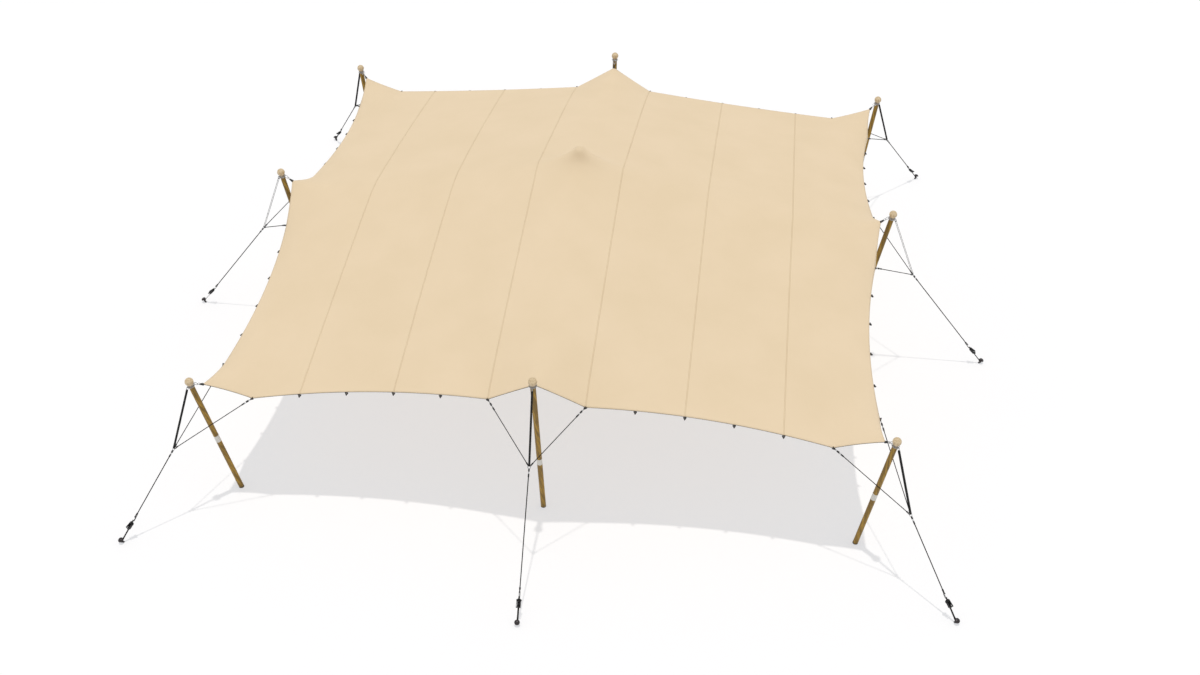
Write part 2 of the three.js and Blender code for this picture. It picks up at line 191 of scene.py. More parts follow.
def coated_cloth(name, light, dark, knit=0.12):
    """Matt cloth with a fine knit and a faint cloudiness, laid out by the UV map."""
    material, tree, shader = new_finish(
        name, Roughness=0.85, Specular_IOR_Level=0.15, Sheen_Weight=0.05, Sheen_Roughness=0.5
    )
    cut = add_node(tree, "ShaderNodeUVMap", {"uv_map": "cut"})
    across, along = (
        add_node(
            tree,
            "ShaderNodeTexWave",
            {"wave_type": "BANDS", "bands_direction": direction},
            {"Vector": cut.outputs["UV"], "Scale": math.tau / 20 / KNIT_PITCH, "Distortion": 0.6},
        )
        for direction in ("X", "Y")
    )
    rows = add_node(
        tree,
        "ShaderNodeMath",
        {"operation": "MULTIPLY"},
        {0: across.outputs["Fac"], 1: along.outputs["Fac"]},
    )
    clouds = add_node(
        tree,
        "ShaderNodeTexNoise",
        {},
        {"Vector": cut.outputs["UV"], "Scale": 0.9, "Detail": 5.0, "Roughness": 0.55},
    )
    fibres = add_node(
        tree,
        "ShaderNodeTexNoise",
        {},
        {"Vector": cut.outputs["UV"], "Scale": 130.0, "Detail": 2.0},
    )
    cloudy = add_node(
        tree,
        "ShaderNodeMapRange",
        {},
        {"Value": clouds.outputs["Fac"], "From Min": 0.35, "From Max": 0.65},
    )
    base = blend_colours(tree, cloudy.outputs["Result"], light, dark)
    speckle = add_node(
        tree,
        "ShaderNodeMapRange",
        {},
        {"Value": fibres.outputs["Fac"], "From Min": 0.5, "From Max": 0.8, "To Max": 0.14},
    )
    tree.links.new(
        blend_colours(tree, speckle.outputs["Result"], base, dark), shader.inputs["Base Color"]
    )
    knit_bump = add_node(
        tree,
        "ShaderNodeBump",
        {},
        {"Strength": knit, "Distance": 0.0006, "Height": rows.outputs["Value"]},
    )
    tree.links.new(knit_bump.outputs["Normal"], shader.inputs["Normal"])
    return material


CLOTH = coated_cloth("coated_stretch_cloth", "#D8C4A6", "#D5C1A2")
# The hem's dark grey-brown is painted shade: it stands for the shaded edge of the sand-coloured
# cloth.
HEM_PAINTED_SHADE = coated_cloth("hem_painted_shade_cloth", "#6F675C", "#5F584E", knit=0.3)
SEAM_CLOTH = coated_cloth("welded_seam_cloth", "#D3BF9F", "#CEB999", knit=0.05)
print("cloth finishes:", CLOTH.name, HEM_PAINTED_SHADE.name, SEAM_CLOTH.name)

# %% [markdown]
# ## Finish: oiled timber
# The poles are turned hardwood with an oiled surface: golden brown, with long darker grain
# lines that wind slowly round the pole. The grain reads an attribute that every turned part
# carries, which holds where each point was on the lathe, with Z along the pole, so that the
# grain follows the pole however it leans.

# %% Timber finish
GRAIN_TWIST = 4.5


def oiled_timber(name, light, mid, dark, grain_size=0.012):
    """Turned timber whose grain lines wind slowly round the axis that it was turned on."""
    material, tree, shader = new_finish(name, Specular_IOR_Level=0.4)
    made_at = add_node(tree, "ShaderNodeAttribute", {"attribute_name": "made_at"})
    height = add_node(tree, "ShaderNodeSeparateXYZ", {}, {"Vector": made_at.outputs["Vector"]})
    winding = add_node(
        tree, "ShaderNodeMath", {"operation": "MULTIPLY"}, {0: height.outputs["Z"], 1: GRAIN_TWIST}
    )
    wound = add_node(
        tree,
        "ShaderNodeVectorRotate",
        {"rotation_type": "Z_AXIS"},
        {"Vector": made_at.outputs["Vector"], "Angle": winding.outputs["Value"]},
    )
    stretched = add_node(
        tree,
        "ShaderNodeMapping",
        {},
        {"Vector": wound.outputs["Vector"], "Scale": (1, 1, 0.06)},
    )
    grain = add_node(
        tree,
        "ShaderNodeTexNoise",
        {},
        {
            "Vector": stretched.outputs["Vector"],
            "Scale": 0.6 / grain_size,
            "Detail": 8.0,
            "Roughness": 0.62,
            "Distortion": 1.2,
        },
    )
    rings = add_node(
        tree,
        "ShaderNodeTexWave",
        {"wave_type": "RINGS", "rings_direction": "Z"},
        {
            "Vector": stretched.outputs["Vector"],
            "Scale": 0.22 / grain_size,
            "Distortion": 9.0,
            "Detail": 3.0,
            "Detail Scale": 1.4,
        },
    )
    figure = add_node(
        tree,
        "ShaderNodeMapRange",
        {},
        {"Value": grain.outputs["Fac"], "From Min": 0.36, "From Max": 0.66},
    )
    lines = add_node(
        tree,
        "ShaderNodeMapRange",
        {},
        {"Value": rings.outputs["Fac"], "From Min": 0.3, "From Max": 1.0, "To Max": 0.75},
    )
    ground = blend_colours(tree, figure.outputs["Result"], light, mid)
    tree.links.new(
        blend_colours(tree, lines.outputs["Result"], ground, dark), shader.inputs["Base Color"]
    )
    shine = add_node(
        tree,
        "ShaderNodeMapRange",
        {},
        {"Value": grain.outputs["Fac"], "To Min": 0.38, "To Max": 0.62},
    )
    tree.links.new(shine.outputs["Result"], shader.inputs["Roughness"])
    pores = add_node(
        tree,
        "ShaderNodeBump",
        {},
        {"Strength": 0.35, "Distance": 0.0012, "Height": grain.outputs["Fac"]},
    )
    tree.links.new(pores.outputs["Normal"], shader.inputs["Normal"])
    return material


POLE_TIMBER = oiled_timber("oiled_hardwood_pole", "#A98321", "#8A6A1E", "#5C4510")
BALL_TIMBER = oiled_timber("pale_turned_ball", "#CDB998", "#C0AB88", "#B29C79", grain_size=0.02)
print("timber finishes:", POLE_TIMBER.name, BALL_TIMBER.name)

# %% [markdown]
# ## Finishes: plastics, rubber and metal
# The small parts come from a few families. Moulded nylon is even and slightly glossy with a
# fine texture from the mould. Rubber is dull and picks up dust. Galvanised steel is a grey
# metal with soft patches. Black steel is powder coated: a hard orange peel skin, rubbed
# bright at its edges. One function covers them, because they differ only in their numbers:
# a base colour, a colour of dust or wear, the size of the mottling, and how the skin shines.

# %% Hard finishes
def hard_skin(name, base, worn, mottle_mm, metallic, rough_low, rough_high, bump_mm=0.15):
    """A mottled hard surface: plastic, rubber or metal, by its numbers."""
    material, tree, shader = new_finish(name, Metallic=metallic)
    place_on = add_node(tree, "ShaderNodeAttribute", {"attribute_name": "made_at"})
    mottle = add_node(
        tree,
        "ShaderNodeTexNoise",
        {},
        {
            "Vector": place_on.outputs["Vector"],
            "Scale": 1000 / mottle_mm,
            "Detail": 6.0,
            "Roughness": 0.6,
        },
    )
    patches = add_node(
        tree,
        "ShaderNodeMapRange",
        {},
        {"Value": mottle.outputs["Fac"], "From Min": 0.42, "From Max": 0.72},
    )
    shape = add_node(tree, "ShaderNodeNewGeometry")
    edges = add_node(
        tree,
        "ShaderNodeMapRange",
        {},
        {"Value": shape.outputs["Pointiness"], "From Min": 0.52, "From Max": 0.62, "To Max": 0.7},
    )
    wear = add_node(
        tree,
        "ShaderNodeMath",
        {"operation": "MAXIMUM"},
        {0: patches.outputs["Result"], 1: edges.outputs["Result"]},
    )
    tree.links.new(
        blend_colours(tree, wear.outputs["Value"], base, worn), shader.inputs["Base Color"]
    )
    shine = add_node(
        tree,
        "ShaderNodeMapRange",
        {},
        {"Value": mottle.outputs["Fac"], "To Min": rough_low, "To Max": rough_high},
    )
    tree.links.new(shine.outputs["Result"], shader.inputs["Roughness"])
    skin = add_node(
        tree,
        "ShaderNodeTexNoise",
        {},
        {"Vector": place_on.outputs["Vector"], "Scale": 400.0, "Detail": 2.0},
    )
    texture = add_node(
        tree,
        "ShaderNodeBump",
        {},
        {"Strength": 0.4, "Distance": bump_mm / 1000, "Height": skin.outputs["Fac"]},
    )
    tree.links.new(texture.outputs["Normal"], shader.inputs["Normal"])
    return material


GREY_NYLON = hard_skin("moulded_grey_nylon", "#8F857A", "#A39A8E", 12, 0, 0.42, 0.6)
SLEEVE_GREY = hard_skin("brushed_grey_sleeve", "#CFCDC6", "#BCBAB3", 15, 0.2, 0.4, 0.6)
SHOE_RUBBER = hard_skin("moulded_brown_rubber", "#4A3B20", "#5C4B2C", 18, 0, 0.6, 0.8)
GRIP_RUBBER = hard_skin("ribbed_black_rubber", "#1E1E1E", "#353330", 14, 0, 0.6, 0.8)
ZINC_STEEL = hard_skin("galvanised_steel", "#B4B6B8", "#8D9093", 6, 1, 0.28, 0.5)
BLACK_STEEL = hard_skin("powder_coated_black_steel", "#0C0C0E", "#232326", 10, 0, 0.45, 0.65)
FORGED_STEEL = hard_skin("forged_peg_steel", "#1D1A1C", "#4B4346", 16, 0.3, 0.32, 0.5)
PAD_RUBBER = hard_skin("clamp_pad_rubber", "#55504B", "#6A645E", 8, 0, 0.6, 0.8)
print("hard finishes ready:", ZINC_STEEL.name, "and seven more")

# %% [markdown]
# ## Finishes: rope and webbing
# The ropes are twisted polyester, nearly black. Their strands are modelled, so the finish
# only adds the fine yarns that run along each strand. The straps are woven polyester
# webbing: ribs across the width every 1.6 mm, drawn at 4 mm so that they show, with cords
# along the length between them and some dust. An image could carry the weave, but two
# crossed waves give it at any size.

# %% Rope finish
def twisted_rope(name, dark, light):
    """Dull rope yarn with fine slanting fibres and a little fluff."""
    material, tree, shader = new_finish(name, Roughness=0.8, Specular_IOR_Level=0.2)
    made_at = add_node(tree, "ShaderNodeAttribute", {"attribute_name": "made_at"})
    yarns = add_node(
        tree,
        "ShaderNodeTexWave",
        {"wave_type": "BANDS", "bands_direction": "DIAGONAL"},
        {"Vector": made_at.outputs["Vector"], "Scale": 170.0, "Distortion": 2.0, "Detail": 1.0},
    )
    fluff = add_node(
        tree,
        "ShaderNodeTexNoise",
        {},
        {"Vector": made_at.outputs["Vector"], "Scale": 60.0, "Detail": 4.0},
    )
    tone = add_node(
        tree,
        "ShaderNodeMath",
        {"operation": "MULTIPLY"},
        {0: yarns.outputs["Fac"], 1: fluff.outputs["Fac"]},
    )
    tree.links.new(
        blend_colours(tree, tone.outputs["Value"], dark, light), shader.inputs["Base Color"]
    )
    relief = add_node(
        tree,
        "ShaderNodeBump",
        {},
        {"Strength": 0.5, "Distance": 0.0008, "Height": yarns.outputs["Fac"]},
    )
    tree.links.new(relief.outputs["Normal"], shader.inputs["Normal"])
    return material


GUY_ROPE = twisted_rope("twisted_polyester_rope", "#0E0E0E", "#2A2A2A")
print("rope finish:", GUY_ROPE.name)

# %% Webbing finish
def woven_webbing(name, dark, light):
    """Flat woven strap: ribs across, cords along, and some dust."""
    material, tree, shader = new_finish(name, Roughness=0.8, Specular_IOR_Level=0.2)
    made_at = add_node(tree, "ShaderNodeAttribute", {"attribute_name": "made_at"})
    ribs = add_node(
        tree,
        "ShaderNodeTexWave",
        {"wave_type": "BANDS", "bands_direction": "Z"},
        {"Vector": made_at.outputs["Vector"], "Scale": math.tau / 20 / 0.004, "Distortion": 0.8},
    )
    cords = add_node(
        tree,
        "ShaderNodeTexWave",
        {"wave_type": "BANDS", "bands_direction": "Y"},
        {"Vector": made_at.outputs["Vector"], "Scale": math.tau / 20 / 0.005, "Distortion": 0.5},
    )
    weave = add_node(
        tree,
        "ShaderNodeMath",
        {"operation": "MULTIPLY"},
        {0: ribs.outputs["Fac"], 1: cords.outputs["Fac"]},
    )
    dust = add_node(
        tree,
        "ShaderNodeTexNoise",
        {},
        {"Vector": made_at.outputs["Vector"], "Scale": 25.0, "Detail": 4.0},
    )
    tone = add_node(
        tree,
        "ShaderNodeMath",
        {"operation": "MULTIPLY_ADD"},
        {0: weave.outputs["Value"], 1: 0.5, 2: dust.outputs["Fac"]},
    )
    share = add_node(
        tree,
        "ShaderNodeMapRange",
        {},
        {"Value": tone.outputs["Value"], "From Min": 0.3, "From Max": 1.0},
    )
    tree.links.new(
        blend_colours(tree, share.outputs["Result"], dark, light), shader.inputs["Base Color"]
    )
    relief = add_node(
        tree,
        "ShaderNodeBump",
        {},
        {"Strength": 0.6, "Distance": 0.0007, "Height": weave.outputs["Value"]},
    )
    tree.links.new(relief.outputs["Normal"], shader.inputs["Normal"])
    return material


WEBBING = woven_webbing("woven_polyester_webbing", "#111111", "#2E2E2E")
print("webbing finish:", WEBBING.name)

# %% [markdown]
# ## Tools for shapes
# Every part is made upright at the origin, as on a workbench, then carried to its place by a
# matrix. Before it is moved, each point notes where it was made, in the attribute that the
# finishes read. Parts of one piece are gathered in one mesh.

# %% Making and placing parts
def aim(origin, direction, side=UP):
    """A matrix that stands a part at a point with its Z along a direction and X to one side."""
    along = Vector(direction).normalized()
    across = along.cross(Vector(side))
    if across.length < 1e-4:
        across = along.cross(Vector((1, 0, 0)))
    across.normalize()
    turn = Matrix((across.cross(along), across, along)).transposed().to_4x4()
    turn.translation = origin
    return turn


def add_part(piece, part, matrix=Matrix.Identity(4), finish=None):
    """Notes where each point was made, carries the part to its place and adds it to the piece."""
    made_at = part.verts.layers.float_vector.new("made_at")
    for vert in part.verts:
        vert[made_at] = vert.co
    for face in part.faces:
        face.smooth = True
        if finish is not None:
            face.material_index = finish
    part.transform(matrix)
    carrier = bpy.data.meshes.new("carrier")
    part.to_mesh(carrier)
    part.free()
    piece.from_mesh(carrier)
    bpy.data.meshes.remove(carrier)


def finish_piece(name, piece, finishes, body="root", stands_for=(), sharp=40):
    """Turns the gathered parts into one object that rides on a body."""
    mesh = bpy.data.meshes.new(name)
    piece.to_mesh(mesh)
    piece.free()
    for finish in finishes:
        mesh.materials.append(finish)
    mesh.set_sharp_from_angle(angle=math.radians(sharp))
    done = bpy.data.objects.new(name, mesh)
    SCENE.collection.objects.link(done)
    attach(done, body)
    if stands_for:
        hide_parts(*stands_for)
    return done


print("aim along X gives", [round(v, 2) for v in aim((0, 0, 0), (1, 0, 0)).col[2]])

# %% Turned parts, rings and wire
def turned(profile, steps=32):
    """A part turned on the lathe from (radius, height) points; points on the axis close it."""
    part = bmesh.new()
    points = [part.verts.new((radius, 0, height)) for radius, height in profile]
    for first, second in zip(points, points[1:]):
        part.edges.new((first, second))
    bmesh.ops.spin(
        part,
        geom=part.verts[:] + part.edges[:],
        axis=UP,
        cent=(0, 0, 0),
        angle=math.tau,
        steps=steps,
        use_merge=True,
    )
    bmesh.ops.remove_doubles(part, verts=part.verts, dist=1e-6)
    bmesh.ops.recalc_face_normals(part, faces=part.faces)
    return part


def wire_link(radius, wire, stretch=0.0, steps=24, sides=8):
    """A ring of wire about the Y axis, pulled out to an oval along Z."""
    part = bmesh.new()
    section = bmesh.ops.create_circle(part, segments=sides, radius=wire)["verts"]
    bmesh.ops.translate(part, verts=section, vec=(radius, 0, 0))
    bmesh.ops.rotate(
        part, verts=section, cent=(0, 0, 0), matrix=Matrix.Rotation(math.pi / steps, 3, "Y")
    )
    bmesh.ops.spin(
        part,
        geom=part.verts[:] + part.edges[:],
        axis=(0, 1, 0),
        cent=(0, 0, 0),
        angle=math.tau,
        steps=steps,
        use_merge=True,
    )
    bmesh.ops.remove_doubles(part, verts=part.verts, dist=1e-6)
    bmesh.ops.recalc_face_normals(part, faces=part.faces)
    upper = [vert for vert in part.verts if vert.co.z > 0]
    bmesh.ops.translate(part, verts=upper, vec=(0, 0, stretch))
    return part


print("a ring has", len(wire_link(0.02, 0.004).faces), "faces")

# %% Ropes that are laid, and bent rods
ROPE_LAY = 0.042


def only_verts(geometry):
    """The corners among what an operator has made."""
    return [item for item in geometry if isinstance(item, bmesh.types.BMVert)]


def laid_rope(length, radius, strands=3, steps_per_turn=10):
    """Three strands twisted together: a lobed ring screwed along Z in one spin."""
    part = bmesh.new()
    section = bmesh.ops.create_circle(part, segments=strands * 3, radius=radius)["verts"]
    valleys = [vert for index, vert in enumerate(section) if index % 3 == 0]
    bmesh.ops.scale(part, verts=valleys, vec=(0.74, 0.74, 1))
    steps = max(4, round(length / ROPE_LAY * steps_per_turn))
    bmesh.ops.spin(
        part,
        geom=part.verts[:] + part.edges[:],
        axis=UP,
        cent=(0, 0, 0),
        dvec=(0, 0, length / steps),
        angle=math.tau * length / ROPE_LAY,
        steps=steps,
    )
    bmesh.ops.holes_fill(part, edges=part.edges, sides=strands * 3)
    bmesh.ops.recalc_face_normals(part, faces=part.faces)
    return part


def bent_rod(path, radius, sides=8):
    """A round rod carried along a path of points and closed at both ends."""
    part = bmesh.new()
    places = [Vector(point) for point in path]
    turns = []
    for index, point in enumerate(places):
        ahead = places[min(index + 1, len(places) - 1)] - places[max(index - 1, 0)]
        turns.append(aim(point, ahead, side=(0, 1, 0.001)))
    bmesh.ops.create_circle(part, segments=sides, radius=radius, matrix=turns[0])
    edges = part.edges[:]
    for before, turn in zip(turns, turns[1:]):
        made = bmesh.ops.extrude_edge_only(part, edges=edges)["geom"]
        edges = [item for item in made if isinstance(item, bmesh.types.BMEdge)]
        bmesh.ops.transform(part, matrix=turn @ before.inverted(), verts=only_verts(made))
    bmesh.ops.holes_fill(part, edges=part.edges, sides=sides)
    bmesh.ops.recalc_face_normals(part, faces=part.faces)
    return part


print("a metre of rope has", len(laid_rope(1, 0.005).faces), "faces")

# %% Plates and blocks
def thicken(part, along):
    """Raises a flat shape along a vector into a plate, centred on where the shape was."""
    raised = bmesh.ops.extrude_face_region(part, geom=part.faces[:])["geom"]
    bmesh.ops.translate(part, verts=only_verts(raised), vec=along)
    bmesh.ops.translate(part, verts=part.verts, vec=[-share / 2 for share in along])
    bmesh.ops.recalc_face_normals(part, faces=part.faces)


def rounded_block(width, depth, height, edge, segments=2):
    """A block with all its edges rounded, standing on the origin."""
    part = bmesh.new()
    bmesh.ops.create_cube(part, size=1)
    bmesh.ops.scale(part, verts=part.verts, vec=(width, depth, height))
    bmesh.ops.translate(part, verts=part.verts, vec=(0, 0, height / 2))
    bmesh.ops.bevel(
        part,
        geom=part.edges[:],
        offset=edge,
        offset_type="OFFSET",
        affect="EDGES",
        segments=segments,
        profile=0.5,
        material=-1,
    )
    return part


def long_plate(length, near, far, thickness, steps=24):
    """A flat plate with round ends of two sizes, in the X-Z plane, its near end at the origin."""
    part = bmesh.new()
    outline = bmesh.ops.create_circle(part, segments=steps, radius=1, cap_ends=True)["verts"]
    for vert in outline:
        size = far if vert.co.y > 0 else near
        vert.co = Vector((vert.co.x * size, 0, vert.co.y * size))
        if vert.co.z > 0:
            vert.co.z += length
    thicken(part, (0, thickness, 0))
    rims = [edge for edge in part.edges if edge.calc_face_angle(0) > 1]
    bmesh.ops.bevel(
        part,
        geom=rims,
        offset=thickness * 0.2,
        offset_type="OFFSET",
        affect="EDGES",
        segments=1,
        profile=0.5,
        material=-1,
    )
    return part


print("a rounded block has", len(rounded_block(1, 1, 1, 0.1).faces), "faces")

# %% [markdown]
# ## Where everything stands
# The tent is the same in all four quarters, so three sets of points describe all eight
# guy stations: a corner, the middle of the front or back, and the middle of a side. The
# numbers are those of the working model in metres, and each ball is measured against its cap.

# %% Stations
CORNER = {
    "ball": (5.386, 5.133, 2.511),
    "foot": (5.063, 4.827, 0),
    "tip": (5.242, 4.995, 2.366),
    "junction": (5.721, 5.491, 1.387),
    "stake": (6.540, 6.293, 0.038),
    "edges": ((4.500, 4.955, 2.120), (5.212, 4.216, 2.128)),
}
END_MIDDLE = {
    "ball": (0, 5.178, 3.124),
    "foot": (0, 4.645, 0),
    "tip": (0, 5.024, 2.934),
    "junction": (0, 5.712, 1.897),
    "stake": (0, 7.152, 0.038),
    "edges": ((0.750, 4.934, 2.493), (-0.750, 4.934, 2.493)),
}
SIDE_MIDDLE = {
    "ball": (5.434, 0, 3.114),
    "foot": (4.900, 0, 0),
    "tip": (5.246, 0, 2.952),
    "junction": (5.940, 0, 1.875),
    "stake": (7.412, 0, 0.038),
    "edges": ((5.186, 0.773, 2.510), (5.186, -0.773, 2.510)),
}
STATIONS = {
    "front_left": (CORNER, -1, -1),
    "front_mid": (END_MIDDLE, 1, -1),
    "front_right": (CORNER, 1, -1),
    "right_mid": (SIDE_MIDDLE, 1, 1),
    "back_right": (CORNER, 1, 1),
    "back_mid": (END_MIDDLE, 1, 1),
    "back_left": (CORNER, -1, 1),
    "left_mid": (SIDE_MIDDLE, -1, 1),
}


def station_points(name):
    """The points of one station, mirrored into its own quarter."""
    quarter, sign_x, sign_y = STATIONS[name]
    flip = Matrix.Diagonal((sign_x, sign_y, 1))
    points = {key: flip @ Vector(quarter[key]) for key in quarter if key != "edges"}
    points["edges"] = [flip @ Vector(edge) for edge in quarter["edges"]]
    points["axis"] = (points["ball"] - points["foot"]).normalized()
    return points


for station in STATIONS:
    low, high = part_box(f"pole_cap_{station}")
    ball = station_points(station)["ball"]
    print(station, "ball is", round(((low + high) / 2 - ball).length * 1000), "mm off its cap")

# %% [markdown]
# ## The canopy
# Stretchy cloth under tension is a net of equal pulls: every knot moves until the pulls of
# its four neighbours cancel. The edge is held at the tips and clamps and curves in between,
# and the head of the centre pole pushes a round nub up in the middle. A band that runs from
# side to side over the peak is pulled much tighter than the rest. The knots are
# worked out with a few lines of arithmetic, and the sheet itself starts as a flat grid,
# so it has a UV map that is the flat cut of the cloth in metres.

# %% Lines of the net
CLIP_GAPS = 7
CELLS_PER_GAP = 8
NEAR_PEAK = [0, 0.025, 0.05, 0.075, 0.1, 0.125, 0.15, 0.175, 0.2, 0.225]
HEM_GAP = 0.05

FIRST_EVEN = 2

even = [step / CELLS_PER_GAP for step in range(FIRST_EVEN, CLIP_GAPS * CELLS_PER_GAP + 1)]
half = np.array(NEAR_PEAK + even[:-1] + [CLIP_GAPS - HEM_GAP, CLIP_GAPS])
LINES = np.concatenate([-half[:0:-1], half])
print("the net has", len(LINES), "lines each way")

# %% Edge of the net
EDGE_SAG = {"end": (0.120, 0.040), "side": (0.135, 0.020)}
NOTCH_SAG = 0.010
CORNER_SAG = 0.020


def hang(start, end, share, axis, sag, lift=0.0):
    """A point on an edge that hangs in a shallow curve between two held points."""
    belly = 4 * share * (1 - share)
    point = np.array(start) + (np.array(end) - np.array(start)) * share
    point[axis] -= sag * belly
    point[2] += lift * belly
    return point


def edge_point(gaps, side):
    """The edge of one quarter, counted in clip gaps from the middle station to the corner."""
    middle, clamp = (END_MIDDLE, 0) if side == "end" else (SIDE_MIDDLE, 1)
    axis = 1 if side == "end" else 0
    corner_clamp = CORNER["edges"][clamp]
    if gaps <= 1:
        return hang(middle["tip"], middle["edges"][0], gaps, axis, NOTCH_SAG)
    if gaps >= CLIP_GAPS - 1:
        return hang(corner_clamp, CORNER["tip"], gaps - CLIP_GAPS + 1, axis, CORNER_SAG)
    share = (gaps - 1) / (CLIP_GAPS - 2)
    return hang(middle["edges"][0], corner_clamp, share, axis, *EDGE_SAG[side])


print("edge half way along the front:", np.round(edge_point(3.5, "end"), 3))

# %% Pull the net tight
TENSION_ACROSS = 0.0905
RIDGE_ACROSS = 65.5
RIDGE_HALF_WIDTH = 0.5
CLOTH_LIFT = 0.00796
PEAK_TOP = 4.065
NUB_TOP_RADIUS = 0.036
NUB_RADIUS = 0.100
NUB_SLOPE = 0.95
SWEEPS = 1300
OVER_PULL = 1.95


def held_edges():
    """All knots with the edges in place and the inside spread evenly between them."""
    count = len(LINES)
    knots = np.zeros((count, count, 3))
    for index, gaps in enumerate(LINES):
        sign = math.copysign(1, gaps)
        end = edge_point(abs(gaps), "end") * (sign, 1, 1)
        side = edge_point(abs(gaps), "side") * (1, sign, 1)
        knots[index, -1], knots[index, 0] = end, end * (1, -1, 1)
        knots[-1, index], knots[0, index] = side, side * (-1, 1, 1)
    share = ((LINES + CLIP_GAPS) / (2 * CLIP_GAPS))[:, None]
    ends = knots[:, None, 0] * (1 - share) + knots[:, None, -1] * share
    sides = knots[None, 0] * (1 - share[:, None]) + knots[None, -1] * share[:, None]
    bottom = knots[0, 0] * (1 - share) + knots[-1, 0] * share
    top = knots[0, -1] * (1 - share) + knots[-1, -1] * share
    both = bottom[:, None] * (1 - share) + top[:, None] * share
    knots[1:-1, 1:-1] = (ends + sides - both)[1:-1, 1:-1]
    return knots


def pull_tight(knots):
    """Moves every inner knot, time after time, to where its four pulls and its lift balance."""
    gap = np.diff(LINES)
    reach = np.zeros(len(LINES))
    reach[1:-1] = (LINES[2:] - LINES[:-2]) / 2
    ridge = np.exp(-((LINES / RIDGE_HALF_WIDTH) ** 2))
    across = (TENSION_ACROSS * (1 + RIDGE_ACROSS * ridge) * reach)[None] / gap[:, None]
    along = reach[:, None] / gap[None]
    pulls = [across[1:, 1:-1], across[:-1, 1:-1], along[1:-1, 1:], along[1:-1, :-1]]
    total = sum(pulls)
    right, left, ahead, behind = ((pull / total)[..., None] for pull in pulls)
    lift = np.zeros(total.shape + (3,))
    lift[..., 2] = CLOTH_LIFT * np.outer(reach[1:-1], reach[1:-1]) / total
    chequer = (np.indices(total.shape).sum(0) % 2)[..., None] == 0
    middle = len(LINES) // 2
    near = slice(middle - 10, middle + 11)
    for _ in range(SWEEPS):
        for squares in (chequer, ~chequer):
            balance = right * knots[2:, 1:-1] + left * knots[:-2, 1:-1] + lift
            balance += ahead * knots[1:-1, 2:] + behind * knots[1:-1, :-2]
            knots[1:-1, 1:-1] += np.where(squares, OVER_PULL * (balance - knots[1:-1, 1:-1]), 0)
            top = knots[near, near]
            away = np.hypot(top[..., 0], top[..., 1])
            nub = PEAK_TOP - NUB_SLOPE * np.maximum(away - NUB_TOP_RADIUS, 0)
            top[..., 2] = np.where(away < NUB_RADIUS, np.maximum(top[..., 2], nub), top[..., 2])
    return knots


KNOTS = pull_tight(held_edges())
print("peak at", round(KNOTS[:, :, 2].max(), 3), "m")

# %% [markdown]
# ## The sheet itself
# A grid of the right number of squares is made flat, its UV map is written while it is flat,
# and then each of its points goes to its knot. A Solidify modifier gives the cloth its
# thickness. The hem and the seam tapes are cut from the same net, so that they lie on the
# cloth exactly.

# %% Cloth, hem and seam tapes
CUT_SIZE = (10.5, 10.0)
CLOTH_THICKNESS = 0.002
HEM_THICKNESS = 0.010


def net_surface(knots, lines_across, lines_along, lift=0.0):
    """A grid laid over a block of knots, with its flat cut in metres as a UV map."""
    part = bmesh.new()
    cut = part.loops.layers.uv.new("cut")
    columns, rows = knots.shape[:2]
    bmesh.ops.create_grid(part, x_segments=columns - 1, y_segments=rows - 1, size=1)
    places = {}
    for vert in part.verts:
        column = round((vert.co.x + 1) / 2 * (columns - 1))
        row = round((vert.co.y + 1) / 2 * (rows - 1))
        places[vert] = (column, row)
    for face in part.faces:
        face.smooth = True
        for loop in face.loops:
            column, row = places[loop.vert]
            loop[cut].uv = (
                lines_across[column] / CLIP_GAPS * CUT_SIZE[0] / 2,
                lines_along[row] / CLIP_GAPS * CUT_SIZE[1] / 2,
            )
    for vert, (column, row) in places.items():
        vert.co = Vector(knots[column, row]) + UP * lift
    return part


def cloth_piece(name, sheets, finish, thickness):
    """Joins sheets in one piece and gives them their thickness, downwards."""
    piece = bmesh.new()
    for part in sheets:
        add_part(piece, part)
    bmesh.ops.remove_doubles(piece, verts=piece.verts, dist=1e-6)
    done = finish_piece(name, piece, [finish], sharp=60)
    solid = done.modifiers.new("thickness", "SOLIDIFY")
    solid.thickness = thickness
    solid.offset = -1
    solid.use_even_offset = True
    return done


canopy = cloth_piece("canopy", [net_surface(KNOTS, LINES, LINES)], CLOTH, CLOTH_THICKNESS)
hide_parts(*[f"canopy_panel_{number}" for number in range(1, 8)])
print("canopy:", len(canopy.data.polygons), "faces")

# %% Hem
edge_blocks = [
    (slice(0, 2), slice(None)),
    (slice(-2, None), slice(None)),
    (slice(1, -1), slice(0, 2)),
    (slice(1, -1), slice(-2, None)),
]
# The hem band's dark colour is painted shade for the cloth's shaded edge, not a colour of the
# cloth itself.
hem = cloth_piece(
    "canopy_hem",
    [
        net_surface(KNOTS[across, along], LINES[across], LINES[along], -CLOTH_THICKNESS)
        for across, along in edge_blocks
    ],
    HEM_PAINTED_SHADE,
    HEM_THICKNESS,
)
print("hem band:", round((LINES[1] - LINES[0]) * 750), "mm wide")

# %% Seam tapes
SEAM_LINES = (-5, -3, -1, 1, 3, 5)
SEAM_HALF_WIDTH = 0.012
SEAM_PROUD = 0.0007


def seam_strip(gaps):
    """A narrow strip of the net on both sides of one line."""
    line = int(np.argmin(np.abs(LINES - gaps)))
    strip = np.stack([KNOTS[line]] * 3)
    for side, beside in ((0, line - 1), (2, line + 1)):
        step = KNOTS[beside] - KNOTS[line]
        width = np.abs(step[:, :1])
        strip[side] = KNOTS[line] + step * SEAM_HALF_WIDTH / width
    across = [gaps - SEAM_HALF_WIDTH / 0.75, gaps, gaps + SEAM_HALF_WIDTH / 0.75]
    return net_surface(strip, across, LINES, SEAM_PROUD)


seams = cloth_piece(
    "canopy_seams", [seam_strip(gaps) for gaps in SEAM_LINES], SEAM_CLOTH, SEAM_PROUD
)
print("seam tapes:", len(SEAM_LINES))
